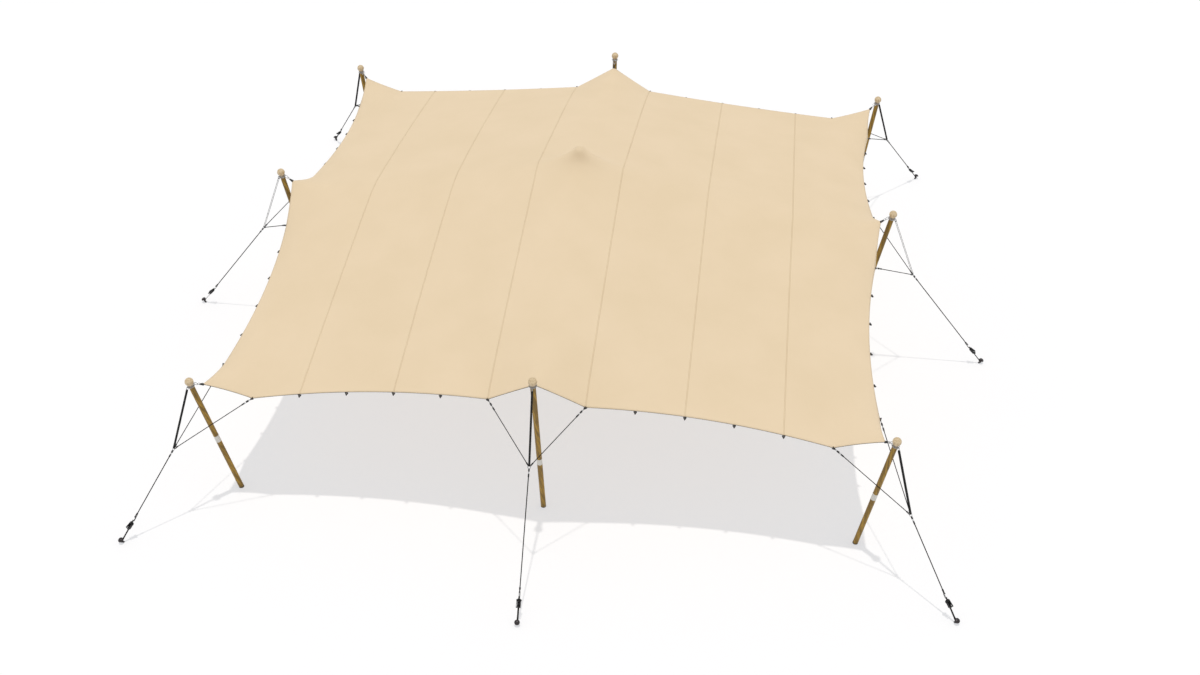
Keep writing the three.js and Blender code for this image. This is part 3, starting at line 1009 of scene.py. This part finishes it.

# %% [markdown]
# ## Clamps along the edge
# Between the stations the edge carries small clamps for spare ropes: black steel blocks in the
# shape of a rounded triangle, with a grey rubber pad on each face. The same shape, larger,
# holds the cloth at each rope. It starts as a three sided circle, its corners are rounded
# and its face is raised, and an inset makes the pad.

# %% Clamp
def delta_clamp(width, length, thickness):
    """A rounded triangle in the Y-Z plane, its wide side at z = 0, with a pad on each face."""
    part = bmesh.new()
    bmesh.ops.create_circle(part, segments=3, radius=1, cap_ends=True)
    for vert in part.verts:
        vert.co = Vector((0, vert.co.x / math.sin(math.tau / 3) * width / 2,
                          (vert.co.y + 0.5) / 1.5 * length))
    bmesh.ops.bevel(
        part,
        geom=part.verts[:],
        offset=width * 0.2,
        offset_type="OFFSET",
        affect="VERTICES",
        segments=4,
        profile=0.5,
        material=-1,
    )
    thicken(part, (thickness, 0, 0))
    wide = [face for face in part.faces if abs(face.normal.x) > 0.9]
    bmesh.ops.inset_individual(part, faces=wide, thickness=width * 0.05, depth=0)
    bmesh.ops.inset_individual(part, faces=wide, thickness=width * 0.12, depth=-0.0015)
    bmesh.ops.inset_individual(part, faces=wide, thickness=width * 0.03, depth=0.002)
    for face in wide:
        face.material_index = 1
    return part


print("a clamp has", len(delta_clamp(0.06, 0.045, 0.014).faces), "faces")

# %% Edge clips
CLIP_WIDTH = 0.062
CLIP_LENGTH = 0.056
CLIP_THICKNESS = 0.020
CLIP_DROOP = 0.2
CLIP_UNDER = -0.004

clips = bmesh.new()
for gaps in (2, 3, 4, 5):
    for sign_along in (-1, 1):
        line = int(np.argmin(np.abs(LINES - gaps * sign_along)))
        for column, row, inner in (
            (line, -1, (line, -2)),
            (line, 0, (line, 1)),
            (-1, line, (-2, line)),
            (0, line, (1, line)),
        ):
            held = Vector(KNOTS[column, row])
            outwards = (held - Vector(KNOTS[inner])).normalized()
            start = held - outwards * CLIP_UNDER - UP * (CLOTH_THICKNESS + CLIP_THICKNESS / 2)
            clip = delta_clamp(CLIP_WIDTH, CLIP_LENGTH, CLIP_THICKNESS)
            add_part(clips, clip, aim(start, outwards - UP * CLIP_DROOP))
edge_clips = finish_piece("edge_clips", clips, [BLACK_STEEL, PAD_RUBBER])
print("edge clips:", len(edge_clips.data.polygons), "faces")

# %% [markdown]
# ## Poles
# A perimeter pole is two lengths of turned timber joined by a grey sleeve, with a rubber
# shoe on the ground and a pale wooden ball on a grey collar at the top. Cylinders would do
# for the shape, but every one of these is round about one axis, so a turned profile gives
# the soft edges too. What would reach below the ground is cut off level.

# %% Pole parts
POLE_RADIUS = 0.0425
SHOE_RADIUS = 0.0435
SHOE_HEIGHT = 0.030
SLEEVE_RADIUS = 0.0445
SLEEVE_LENGTH = 0.140
SLEEVE_FROM_FOOT = 1.165
BALL_RADIUS = 0.0675
COLLAR_DROP = 0.105
COLLAR_RADIUS = 0.046
BURIED = 0.05
TIMBER_START = 0.02
SOFT_EDGE = 0.003


def cut_at_ground(piece):
    """Cuts away what is below the ground and closes the cut."""
    everything = piece.verts[:] + piece.edges[:] + piece.faces[:]
    bmesh.ops.bisect_plane(
        piece, geom=everything, plane_co=(0, 0, 0), plane_no=UP, clear_inner=True
    )
    open_edges = [edge for edge in piece.edges if edge.is_boundary]
    bmesh.ops.holes_fill(piece, edges=open_edges, sides=0)


def ball_profile(radius, lowest_angle, steps=18):
    """Points from the foot of a ball up to its top."""
    angles = [lowest_angle * (1 - step / steps) for step in range(steps)]
    curve = [(radius * math.sin(a), radius * math.cos(a)) for a in angles]
    return [(0, curve[0][1])] + curve + [(0, radius)]


def pole_parts(station, foot, ball):
    """Timber, sleeve and shoe of one pole, as three pieces."""
    upright = aim(foot, ball - foot, side=(1, 0, 0))
    length = (ball - foot).length - COLLAR_DROP - 0.001
    sleeve, radius = SLEEVE_FROM_FOOT, POLE_RADIUS
    joint = sleeve + SLEEVE_LENGTH / 2
    timber = bmesh.new()
    for low, high in ((TIMBER_START, joint - 0.001), (joint + 0.001, length)):
        profile = [
            (0, low), (radius - SOFT_EDGE, low), (radius, low + SOFT_EDGE),
            (radius, high - SOFT_EDGE), (radius - SOFT_EDGE, high), (0, high),
        ]
        add_part(timber, turned(profile), upright)
    finish_piece(
        f"pole_timber_{station}", timber, [POLE_TIMBER],
        stands_for=[f"pole_{station}"],
    )
    tube = bmesh.new()
    lip, top = SLEEVE_RADIUS, sleeve + SLEEVE_LENGTH
    profile = [
        (0, sleeve), (radius + 0.001, sleeve), (lip, sleeve + 0.002), (lip, sleeve + 0.010),
        (lip - 0.001, sleeve + 0.012), (lip - 0.001, top - 0.012), (lip, top - 0.010),
        (lip, top - 0.002), (radius + 0.001, top), (0, top),
    ]
    add_part(tube, turned(profile), upright)
    finish_piece(f"pole_sleeve_{station}", tube, [SLEEVE_GREY])
    shoe = bmesh.new()
    wide = SHOE_RADIUS
    profile = [
        (0, -BURIED), (wide, -BURIED), (wide, 0.008), (wide - 0.0008, 0.010),
        (wide - 0.0008, 0.016), (wide, 0.018), (wide, SHOE_HEIGHT - 0.005),
        (radius + 0.0003, SHOE_HEIGHT), (0, SHOE_HEIGHT),
    ]
    add_part(shoe, turned(profile), upright)
    cut_at_ground(shoe)
    finish_piece(f"pole_shoe_{station}", shoe, [SHOE_RUBBER])
    return length


for station in STATIONS:
    points = station_points(station)
    length = pole_parts(station, points["foot"], points["ball"])
    print(f"pole {station}: {length:.3f} m of timber")

# %% Caps
NECK_ANGLE = math.radians(133)


def cap_parts(station, ball, axis):
    """A pale turned ball on a ribbed grey collar."""
    upright = aim(ball, axis, side=(1, 0, 0))
    round_top = bmesh.new()
    add_part(round_top, turned(ball_profile(BALL_RADIUS, NECK_ANGLE)), upright)
    finish_piece(
        f"cap_ball_{station}", round_top, [BALL_TIMBER],
        stands_for=[f"pole_cap_{station}"],
    )
    neck = BALL_RADIUS * math.sin(NECK_ANGLE)
    seat = BALL_RADIUS * math.cos(NECK_ANGLE)
    collar = bmesh.new()
    profile = [
        (0, -COLLAR_DROP), (COLLAR_RADIUS, -COLLAR_DROP), (COLLAR_RADIUS + 0.001, -0.1035),
        (COLLAR_RADIUS + 0.001, -0.096), (COLLAR_RADIUS - 0.001, -0.094),
        (COLLAR_RADIUS, -0.080), (neck - 0.003, seat - 0.010), (neck + 0.002, seat - 0.007),
        (neck + 0.002, seat - 0.001), (neck - 0.001, seat + 0.001), (0, seat + 0.001),
    ]
    add_part(collar, turned(profile), upright)
    finish_piece(f"cap_collar_{station}", collar, [GREY_NYLON])


for station in STATIONS:
    points = station_points(station)
    cap_parts(station, points["ball"], points["axis"])
print("caps:", len(STATIONS))

# %% [markdown]
# ## Centre pole
# The pole under the peak stands upright. Its head is a smooth wooden cone with a small flat
# top, which spreads the push over the cloth so that it doesn't tear: it makes the nub.

# %% Centre pole and its head
HEAD_GAP = 0.0025
HEAD_TOP = PEAK_TOP - CLOTH_THICKNESS - HEAD_GAP
HEAD_REACH = 0.088
HEAD_HEIGHT = 0.085

centre_foot = Vector((0, 0, 0))
centre_ball = Vector((0, 0, HEAD_TOP - HEAD_HEIGHT + COLLAR_DROP))
length = pole_parts("centre", centre_foot, centre_ball)
head = bmesh.new()
rim = -NUB_SLOPE * (HEAD_REACH - NUB_TOP_RADIUS) - 0.003
profile = [
    (0, -HEAD_HEIGHT), (POLE_RADIUS + 0.006, -HEAD_HEIGHT), (POLE_RADIUS + 0.010, -0.078),
    (HEAD_REACH - 0.010, rim - 0.008), (HEAD_REACH, rim), (NUB_TOP_RADIUS + 0.002, -0.005),
    (NUB_TOP_RADIUS - 0.004, 0), (0, 0),
]
add_part(head, turned(profile, steps=48), Matrix.Translation((0, 0, HEAD_TOP)))
finish_piece(
    "centre_head", head, [BALL_TIMBER], stands_for=["pole_cap_centre"]
)
print(f"centre pole: {length:.3f} m of timber")

# %% [markdown]
# ## Guy lines
# At each station the cloth's tip hangs by a clamp, a link and a ring from a steel ring round
# the collar. On the outer side a shackle and a doubled strap run down to the junction ring.
# Two short ropes hold the cloth's edge to the same ring, and one rope runs on to the hook of
# the ratchet. Each rope ends in an eye with a black sleeve pressed over it.

# %% Rope with eyes
MAIN_ROPE = 0.0084
LEG_ROPE = 0.0070
EYE_RADIUS = 0.011
EYE_STRETCH = 0.016
EYE_REACH = 2 * EYE_RADIUS + EYE_STRETCH
PRESS_LENGTH = 0.034
SMALL_LINK = {"radius": 0.0105, "wire": 0.004, "stretch": 0.012}
BLOCK_GAP = 0.022
BLOCK_END = 0.014
BLOCK_THICKNESS = 0.022
SLEEVE_PROFILE = [
    (0, 0), (0.009, 0), (0.012, 0.006), (0.012, 0.045), (0.008, 0.060), (0, 0.060),
]
FITTING_OVERLAP = 0.006


def rope_with_eye(ropes, sleeves, start, end, radius):
    """A rope that starts in a fitting and reaches the other point with its eye."""
    length = (end - start).length
    run = aim(start, end - start)
    back = aim(end, start - end)
    eye = wire_link(EYE_RADIUS, radius * 0.8, EYE_STRETCH, steps=16, sides=6)
    add_part(ropes, eye, back @ Matrix.Translation((0, 0, EYE_RADIUS)))
    wide = radius * 1.7
    low, high = EYE_REACH - 0.004, EYE_REACH + PRESS_LENGTH
    profile = [
        (0, low), (wide * 0.8, low), (wide, low + 0.003),
        (wide, high - 0.010), (radius * 1.1, high), (0, high),
    ]
    add_part(sleeves, turned(profile, steps=12), back)
    add_part(ropes, laid_rope(length - EYE_REACH, radius), run)


def fittings(kinds, place, reach, steel, black):
    """Adds links, black blocks and rope sleeves one after another, and returns their reach."""
    for kind in kinds:
        if kind == "link":
            group, part = steel, wire_link(**SMALL_LINK)
            lead = SMALL_LINK["radius"] + SMALL_LINK["wire"]
            length = 2 * lead + SMALL_LINK["stretch"]
        elif kind == "block":
            group, part = black, long_plate(BLOCK_GAP, BLOCK_END, BLOCK_END, BLOCK_THICKNESS)
            lead, length = BLOCK_END, BLOCK_GAP + 2 * BLOCK_END
        else:
            group, part = black, turned(SLEEVE_PROFILE, steps=16)
            lead, length = 0, SLEEVE_PROFILE[-1][1]
        add_part(group, part, place @ Matrix.Translation((0, 0, reach + lead)))
        reach += length - FITTING_OVERLAP
    return reach


def sling(length, loop, width, web=0.003, taper=0.45):
    """A doubled strap: a long loop of webbing in X-Z, pressed flat between its two ends."""
    part = bmesh.new()
    bmesh.ops.create_circle(part, segments=16, radius=loop)
    for vert in part.verts:
        far = length - loop if vert.co.y > 0 else loop
        vert.co = Vector((vert.co.x, -width / 2, vert.co.y + far))
    made = bmesh.ops.extrude_edge_only(part, edges=part.edges[:])["geom"]
    bmesh.ops.translate(part, verts=only_verts(made), vec=(0, width, 0))
    bmesh.ops.recalc_face_normals(part, faces=part.faces)
    bmesh.ops.solidify(part, geom=part.faces[:], thickness=web)
    reach = min(0.05, length * 0.3)
    for height in (reach, length - reach):
        everything = part.verts[:] + part.edges[:] + part.faces[:]
        bmesh.ops.bisect_plane(part, geom=everything, plane_co=(0, 0, height), plane_no=UP)
    flat = [v for v in part.verts if reach - 0.001 < v.co.z < length - reach + 0.001]
    bmesh.ops.scale(part, verts=flat, vec=(taper, 1, 1))
    bmesh.ops.recalc_face_normals(part, faces=part.faces)
    return part


print("a sling has", len(sling(0.5, 0.01, 0.026).faces), "faces")

# %% Guy stations
NECK_RING_RADIUS = 0.058
NECK_RING_DROP = 0.084
RING_WIRE = 0.005
RING_RADIUS = 0.022
STRAP_WIDTH = 0.030
STRAP_LOOP = 0.0125
HOOK_FROM_STAKE = 0.470
CLAMP_SIZE = (0.064, 0.056, 0.020)
TIP_CLAMP_SIZE = (0.048, 0.075, 0.024)
CLAMP_BITE = 0.012
CLAMP_DROP = 0.004
TIP_CLAMP_UNDER = 0.006
LINK = {"radius": 0.0135, "wire": 0.0042, "stretch": 0.016}
BOW = {"radius": 0.015, "wire": 0.0045, "stretch": 0.026}
BOW_DROP = 0.006
TIP_LINK_AT = 0.052
RING_OVERLAP = 0.006
PIN_PROFILE = [
    (0, 0), (0.006, 0), (0.006, 0.004), (0.0035, 0.004),
    (0.0035, 0.036), (0.006, 0.036), (0.006, 0.040), (0, 0.040),
]
STRAP_FROM_RING = 0.040
STRAP_LAP = 0.010
FIRST_LINK_AT = 0.036
HOOK_BEND = 0.012
HOOK_SPREAD = 0.007
HOOK_WIRE = 0.0045


def neck_point(neck, axis, target):
    """Where the ring round the collar is nearest to a target."""
    towards = target - neck
    towards -= axis * towards.dot(axis)
    return neck + towards.normalized() * NECK_RING_RADIUS


def hang_tip(tip, inner, steel, black):
    """The clamp, link and ring that hang the cloth's tip from the neck ring."""
    towards = (inner - tip).normalized()
    span = (inner - tip).length
    clamp_place = aim(tip - towards * CLAMP_BITE - UP * TIP_CLAMP_UNDER, towards)
    add_part(black, delta_clamp(*TIP_CLAMP_SIZE), clamp_place)
    from_tip = aim(tip, towards)
    link_place = from_tip @ Matrix.Translation((0, 0, TIP_LINK_AT + LINK["radius"]))
    add_part(steel, wire_link(**LINK), link_place)
    ring_start = TIP_LINK_AT + 2 * LINK["radius"] + LINK["stretch"] - RING_OVERLAP
    ring_radius = (span - ring_start + RING_OVERLAP) / 2
    ring_place = from_tip @ Matrix.Translation((0, 0, ring_start + ring_radius))
    ring_place = ring_place @ Matrix.Rotation(math.pi / 2, 4, "Z")
    add_part(steel, wire_link(ring_radius, BOW["wire"]), ring_place)
    return span


def outer_strap(outer, junction, straps, steel):
    """The shackle on the neck ring's outer side and the doubled strap down to the junction."""
    down = (junction - outer).normalized()
    from_ring = aim(outer, down)
    add_part(steel, wire_link(**BOW), from_ring @ Matrix.Translation((0, 0, BOW_DROP)))
    pin_place = from_ring @ Matrix.Translation((-PIN_PROFILE[-1][1] / 2, 0, BOW_DROP))
    pin = turned(PIN_PROFILE, steps=12)
    add_part(steel, pin, pin_place @ Matrix.Rotation(math.pi / 2, 4, "Y"))
    strap_start = outer + down * STRAP_FROM_RING
    strap_length = (junction - strap_start).length - RING_RADIUS + STRAP_LAP
    strap = sling(strap_length, STRAP_LOOP, STRAP_WIDTH, taper=0.85)
    add_part(straps, strap, aim(strap_start, down))


def hook(place, black):
    """The double wire hook of the ratchet, bent twice, from the rope's eye to the webbing."""
    bend = [(math.cos(a) * HOOK_BEND, 0, 0.008 - math.sin(a) * HOOK_BEND)
            for a in np.linspace(-0.6, math.pi, 9)]
    shank = [(-HOOK_BEND, 0, 0.030), (-HOOK_BEND, 0, 0.062)]
    lower = [(-math.cos(a) * HOOK_BEND, 0, 0.070 + math.sin(a) * 0.014)
             for a in np.linspace(0, math.pi * 0.9, 8)]
    for offset in (-HOOK_SPREAD, HOOK_SPREAD):
        shift = Matrix.Translation((0, offset, 0))
        add_part(black, bent_rod(bend + shank + lower, HOOK_WIRE), place @ shift)


def guy_station(station):
    """All ropes, straps and fittings from one pole down to the hook of its ratchet."""
    points = station_points(station)
    axis, tip, junction = points["axis"], points["tip"], points["junction"]
    down = (points["stake"] - junction).normalized()
    ropes, straps, steel, black = (bmesh.new() for _ in range(4))

    neck = points["ball"] - axis * NECK_RING_DROP
    neck_place = aim(neck, axis, side=(1, 0, 0)) @ Matrix.Rotation(math.pi / 2, 4, "X")
    add_part(steel, wire_link(NECK_RING_RADIUS, RING_WIRE, steps=40), neck_place)
    span = hang_tip(tip, neck_point(neck, axis, tip), steel, black)
    outer_strap(neck_point(neck, axis, junction), junction, straps, steel)

    ring_turn = aim(junction, down) @ Matrix.Rotation(math.pi / 2, 4, "Z")
    add_part(steel, wire_link(RING_RADIUS, RING_WIRE, steps=28), ring_turn)
    for edge in points["edges"]:
        pull = (junction - edge).normalized()
        under = aim(edge - pull * CLAMP_BITE - UP * CLAMP_DROP, pull)
        add_part(black, delta_clamp(*CLAMP_SIZE), under)
        chain = ("link", "block", "link", "sleeve")
        reach = fittings(chain, aim(edge, pull), FIRST_LINK_AT, steel, black)
        ring_side = junction - pull * (RING_RADIUS - 0.004)
        rope_with_eye(ropes, black, edge + pull * reach, ring_side, LEG_ROPE)
    hook_point = points["stake"] - down * HOOK_FROM_STAKE
    chain = ("block", "link", "sleeve")
    reach = fittings(chain, aim(junction, down), RING_RADIUS - 0.003, steel, black)
    rope_with_eye(ropes, black, junction + down * reach, hook_point, MAIN_ROPE)
    hook(aim(hook_point, down), black)

    finish_piece(
        f"guy_ropes_{station}", ropes, [GUY_ROPE],
        stands_for=[f"guy_bridle_{station}"],
    )
    finish_piece(f"guy_strap_{station}", straps, [WEBBING])
    finish_piece(f"guy_rings_{station}", steel, [ZINC_STEEL])
    finish_piece(
        f"guy_clamps_{station}", black, [BLACK_STEEL, PAD_RUBBER]
    )
    return span


for station in STATIONS:
    span = guy_station(station)
    print(f"guy {station}: tip hangs {span * 1000:.0f} mm from the neck ring")

# %% [markdown]
# ## Ratchets
# A ratchet tightens the line: webbing is wound on a slotted spool between two side plates,
# toothed wheels stop it from turning back, and the handle swings on the same spool. The
# frame stays with the tent and the handle rides on its own hinge, so it keeps clear of
# everything that it passes.

# %% Ratchet parts
RATCHET_FROM_STAKE = 0.305
SPOOL_AT = -0.038
BOLT_AT = 0.052
SPOOL_RADIUS = 0.009
ROLL_RADIUS = 0.025
FRAME_INNER = 0.020
PLATE = 0.004
HANDLE_INNER = 0.031
SPOOL_REACH = 0.040
GRIP_AT = 0.062
GRIP_RISE = 0.030
GRIP_RADIUS = 0.009
GRIP_REACH = 0.0305
GRIP_RIBS = 9
GRIP_PITCH = 0.0065
HANDLE_HOLE = 0.0105
PLATE_ENDS = (0.021, 0.016)
ARM_ENDS = (0.017, 0.012)
WHEEL_RADIUS = 0.0185
WHEEL_TEETH = 13
WHEEL_THICKNESS = 0.003
WHEEL_OUT = 0.0265
NUT_OUT = 0.0365
BOLT_RADIUS = 0.006
BED_AWAY = -0.011
PAWL_AWAY = -0.004
PAWL_ROD_AT = 0.018
PAWL_ROD_RADIUS = 0.003
WEB_WIDTH = 0.026
WEB_LOOP = 0.0095
LEAD_LENGTH = 0.050
ACROSS = Vector((0, 1, 0))


def cross_rod(along, away, radius, reach, edge=0.001, steps=24):
    """A rod across the ratchet with softened ends, and where it goes."""
    profile = [
        (0, -reach), (radius - edge, -reach), (radius, -reach + edge),
        (radius, reach - edge), (radius - edge, reach), (0, reach),
    ]
    return turned(profile, steps), aim((away, 0, along), ACROSS)


def toothed_wheel(radius, teeth, thickness):
    """A ratchet wheel: every second point of a circle is pulled in, then the face is raised."""
    part = bmesh.new()
    rim = bmesh.ops.create_circle(part, segments=teeth * 2, radius=radius, cap_ends=True)["verts"]
    bmesh.ops.scale(part, verts=rim[::2], vec=(0.8, 0.8, 1))
    thicken(part, (0, 0, thickness))
    return part


def holed_plate(length, near, far, thickness, hole, steps=24):
    """A flat plate with round ends of two sizes and a hole through its near end."""
    part = bmesh.new()
    outer = bmesh.ops.create_circle(part, segments=steps, radius=1)["verts"]
    inner = bmesh.ops.create_circle(part, segments=steps, radius=hole)["verts"]
    for vert in inner:
        vert.co = Vector((vert.co.x, 0, vert.co.y))
    for vert in outer:
        size = far if vert.co.y > 0.01 else near
        beyond = length if vert.co.y > 0.01 else 0
        vert.co = Vector((vert.co.x * size, 0, vert.co.y * size + beyond))
    bmesh.ops.bridge_loops(part, edges=part.edges[:])
    thicken(part, (0, thickness, 0))
    return part


print("a toothed wheel has", len(toothed_wheel(0.02, 12, 0.003).faces), "faces")

# %% Ratchets and their straps
def ratchet_frame(place):
    """The side plates, toothed wheels, nuts, spool, bolt, bed and pawl."""
    piece = bmesh.new()
    for side in (-1, 1):
        plate = long_plate(BOLT_AT - SPOOL_AT, *PLATE_ENDS, PLATE)
        plate_place = Matrix.Translation((0, side * (FRAME_INNER + PLATE / 2), SPOOL_AT))
        add_part(piece, plate, place @ plate_place)
        wheel = toothed_wheel(WHEEL_RADIUS, WHEEL_TEETH, WHEEL_THICKNESS)
        add_part(piece, wheel, place @ aim((0, side * WHEEL_OUT, SPOOL_AT), ACROSS))
        nut = turned([(0, 0), (0.013, 0), (0.013, 0.002), (0.010, 0.004), (0, 0.004)], steps=6)
        add_part(piece, nut, place @ aim((0, side * NUT_OUT, SPOOL_AT), ACROSS * side))
        bolt_head = turned([(0, 0), (0.008, 0), (0.007, 0.003), (0, 0.003)], steps=6)
        head_place = aim((0, side * (FRAME_INNER + PLATE), BOLT_AT), ACROSS * side)
        add_part(piece, bolt_head, place @ head_place)
    for along, away, radius, reach in (
        (SPOOL_AT, 0, SPOOL_RADIUS, SPOOL_REACH),
        (BOLT_AT, 0, BOLT_RADIUS, FRAME_INNER + 0.001),
        (PAWL_ROD_AT, PAWL_AWAY, PAWL_ROD_RADIUS, FRAME_INNER + 0.001),
    ):
        rod, rod_place = cross_rod(along, away, radius, reach)
        add_part(piece, rod, place @ rod_place)
    bed = rounded_block(0.003, 2 * FRAME_INNER + 0.002, 0.066, 0.001)
    add_part(piece, bed, place @ Matrix.Translation((BED_AWAY, 0, -0.013)))
    pawl = rounded_block(0.004, 2 * FRAME_INNER - 0.004, 0.026, 0.001)
    add_part(piece, pawl, place @ Matrix.Translation((PAWL_AWAY, 0, 0.004)))
    return piece


def ratchet_webbing(place):
    """The roll on the spool, its lead from the hook, and the doubled strap to the peg."""
    piece = bmesh.new()
    roll_profile = [(0, -0.018), (0.021, -0.018), (ROLL_RADIUS, -0.017)]
    roll_profile += [(ROLL_RADIUS, 0.017), (0.021, 0.018), (0, 0.018)]
    add_part(piece, turned(roll_profile, 28), place @ aim((0, 0, SPOOL_AT), ACROSS))
    lead = rounded_block(0.005, WEB_WIDTH, LEAD_LENGTH, 0.0012)
    add_part(piece, lead, place @ Matrix.Translation((0.006, 0, SPOOL_AT - 0.062)))
    strap_start = BOLT_AT - 0.010
    strap = sling(RATCHET_FROM_STAKE - 0.026 - strap_start, WEB_LOOP, WEB_WIDTH)
    add_part(piece, strap, place @ Matrix.Translation((0, 0, strap_start)))
    return piece


def ratchet_handle(place):
    """Two arms that turn on the spool, and a ribbed grip between their ends."""
    piece = bmesh.new()
    rise = (GRIP_RISE, 0, GRIP_AT - SPOOL_AT)
    tilt = aim((0, 0, SPOOL_AT), rise, side=(1, 0, 0))
    for side in (-1, 1):
        arm = holed_plate(Vector(rise).length, *ARM_ENDS, PLATE, HANDLE_HOLE)
        shift = Matrix.Translation((0, side * (HANDLE_INNER + PLATE / 2), 0))
        add_part(piece, arm, place @ tilt @ shift)
    grip = [(0, -GRIP_REACH)]
    for rib in range(GRIP_RIBS):
        middle = (rib - (GRIP_RIBS - 1) / 2) * GRIP_PITCH
        grip += [(GRIP_RADIUS - 0.001, middle - 0.0026), (GRIP_RADIUS, middle - 0.0014)]
        grip += [(GRIP_RADIUS, middle + 0.0014), (GRIP_RADIUS - 0.001, middle + 0.0026)]
    grip += [(0, GRIP_REACH)]
    add_part(piece, turned(grip, 24), place @ aim((GRIP_RISE, 0, GRIP_AT), ACROSS), finish=1)
    return piece


def ratchet(station):
    """A whole ratchet as three pieces, with its handle on the body that swings."""
    points = station_points(station)
    down = (points["stake"] - points["junction"]).normalized()
    place = aim(points["stake"] - down * RATCHET_FROM_STAKE, down)
    finish_piece(
        f"ratchet_frame_{station}", ratchet_frame(place), [BLACK_STEEL],
        stands_for=[f"ratchet_{station}"],
    )
    finish_piece(
        f"ratchet_webbing_{station}", ratchet_webbing(place), [WEBBING]
    )
    finish_piece(
        f"ratchet_arm_{station}", ratchet_handle(place), [BLACK_STEEL, GRIP_RUBBER],
        body=f"handle_{station}",
        stands_for=[f"ratchet_handle_{station}"],
    )


for station in STATIONS:
    ratchet(station)
print("ratchets:", len(STATIONS))

# %% [markdown]
# ## Ground pegs
# A forged steel peg is driven in leaning away from the tent. Its domed head stays above the
# ground, and the strap's ring sits under the head. The peg is one turned profile, set
# leaning and then cut off at the ground, because its buried part is never seen.

# %% Pegs
PEG_LEAN = Vector((0, 0, 0.078))
PEG_OUT = 0.040
PEG_RADIUS = 0.017
HEAD_RIM = 0.043
HEAD_UNDER = 0.030
HEAD_RISE = 0.034
HEAD_LIP = 0.006
PEG_BURIED = 0.09
DOME_STEPS = 10


def peg(station):
    """A peg with its head, and the ring of the strap round it."""
    points = station_points(station)
    stake = points["stake"]
    outwards = stake - points["junction"]
    outwards.z = 0
    axis = outwards.normalized() * PEG_OUT + PEG_LEAN
    piece = bmesh.new()
    profile = [
        (0, -PEG_BURIED), (PEG_RADIUS, -PEG_BURIED), (PEG_RADIUS, 0.018),
        (0.022, HEAD_UNDER - 0.003), (HEAD_RIM - 0.004, HEAD_UNDER - 0.002),
        (HEAD_RIM, HEAD_UNDER + 0.002),
    ]
    for angle in np.linspace(0, math.pi / 2, DOME_STEPS, endpoint=False):
        height = HEAD_UNDER + HEAD_LIP + (HEAD_RISE - HEAD_LIP) * math.sin(angle)
        profile.append((HEAD_RIM * math.cos(angle), height))
    profile.append((0, HEAD_UNDER + HEAD_RISE))
    add_part(piece, turned(profile, 36), aim(stake, axis, side=(1, 0, 0)))
    down = (stake - points["junction"]).normalized()
    ring = wire_link(PEG_RADIUS + 0.008, RING_WIRE, steps=28)
    add_part(piece, ring, aim(stake, down) @ Matrix.Rotation(math.pi / 2, 4, "Z"))
    cut_at_ground(piece)
    finish_piece(
        f"peg_{station}", piece, [FORGED_STEEL],
        stands_for=[f"stake_{station}"],
    )


for station in STATIONS:
    peg(station)
print("pegs:", len(STATIONS))

# %% [markdown]
# ## Floor
# The tent stands on a plain white studio floor. It is a light table: a pale sheet lit from
# below, which keeps the shadow under the cloth light and even. Its finish has a trace of
# mottling, far too weak to notice.

# %% Floor
FLOOR_SIZE = 60
FLOOR_GLOW = 0.575

floor_mesh = bmesh.new()
bmesh.ops.create_grid(floor_mesh, x_segments=4, y_segments=4, size=FLOOR_SIZE)
floor_data = bpy.data.meshes.new("floor")
floor_mesh.to_mesh(floor_data)
floor_mesh.free()
FLOOR_PAINT, floor_tree, floor_shader = new_finish(
    "white_light_table_floor",
    Roughness=0.9,
    Specular_IOR_Level=0.0,
    Emission_Color=colour("#F6F9FF"),
    Emission_Strength=FLOOR_GLOW,
)
floor_place = add_node(floor_tree, "ShaderNodeTexCoord")
floor_mottle = add_node(
    floor_tree,
    "ShaderNodeTexNoise",
    {},
    {"Vector": floor_place.outputs["Object"], "Scale": 0.4, "Detail": 3.0},
)
floor_tree.links.new(
    blend_colours(floor_tree, floor_mottle.outputs["Fac"], "#AAA7A3", "#A8A5A1"),
    floor_shader.inputs["Base Color"],
)
floor_data.materials.append(FLOOR_PAINT)
floor = bpy.data.objects.new("floor", floor_data)
SCENE.collection.objects.link(floor)
print("floor:", 2 * FLOOR_SIZE, "m wide")

# %% [markdown]
# ## The cloth's size
# The canopy is one sheet of seven welded panels, stretched. It was cut 10.5 m wide and 10 m
# deep.

print("cloth cut:", CUT_SIZE, "m")
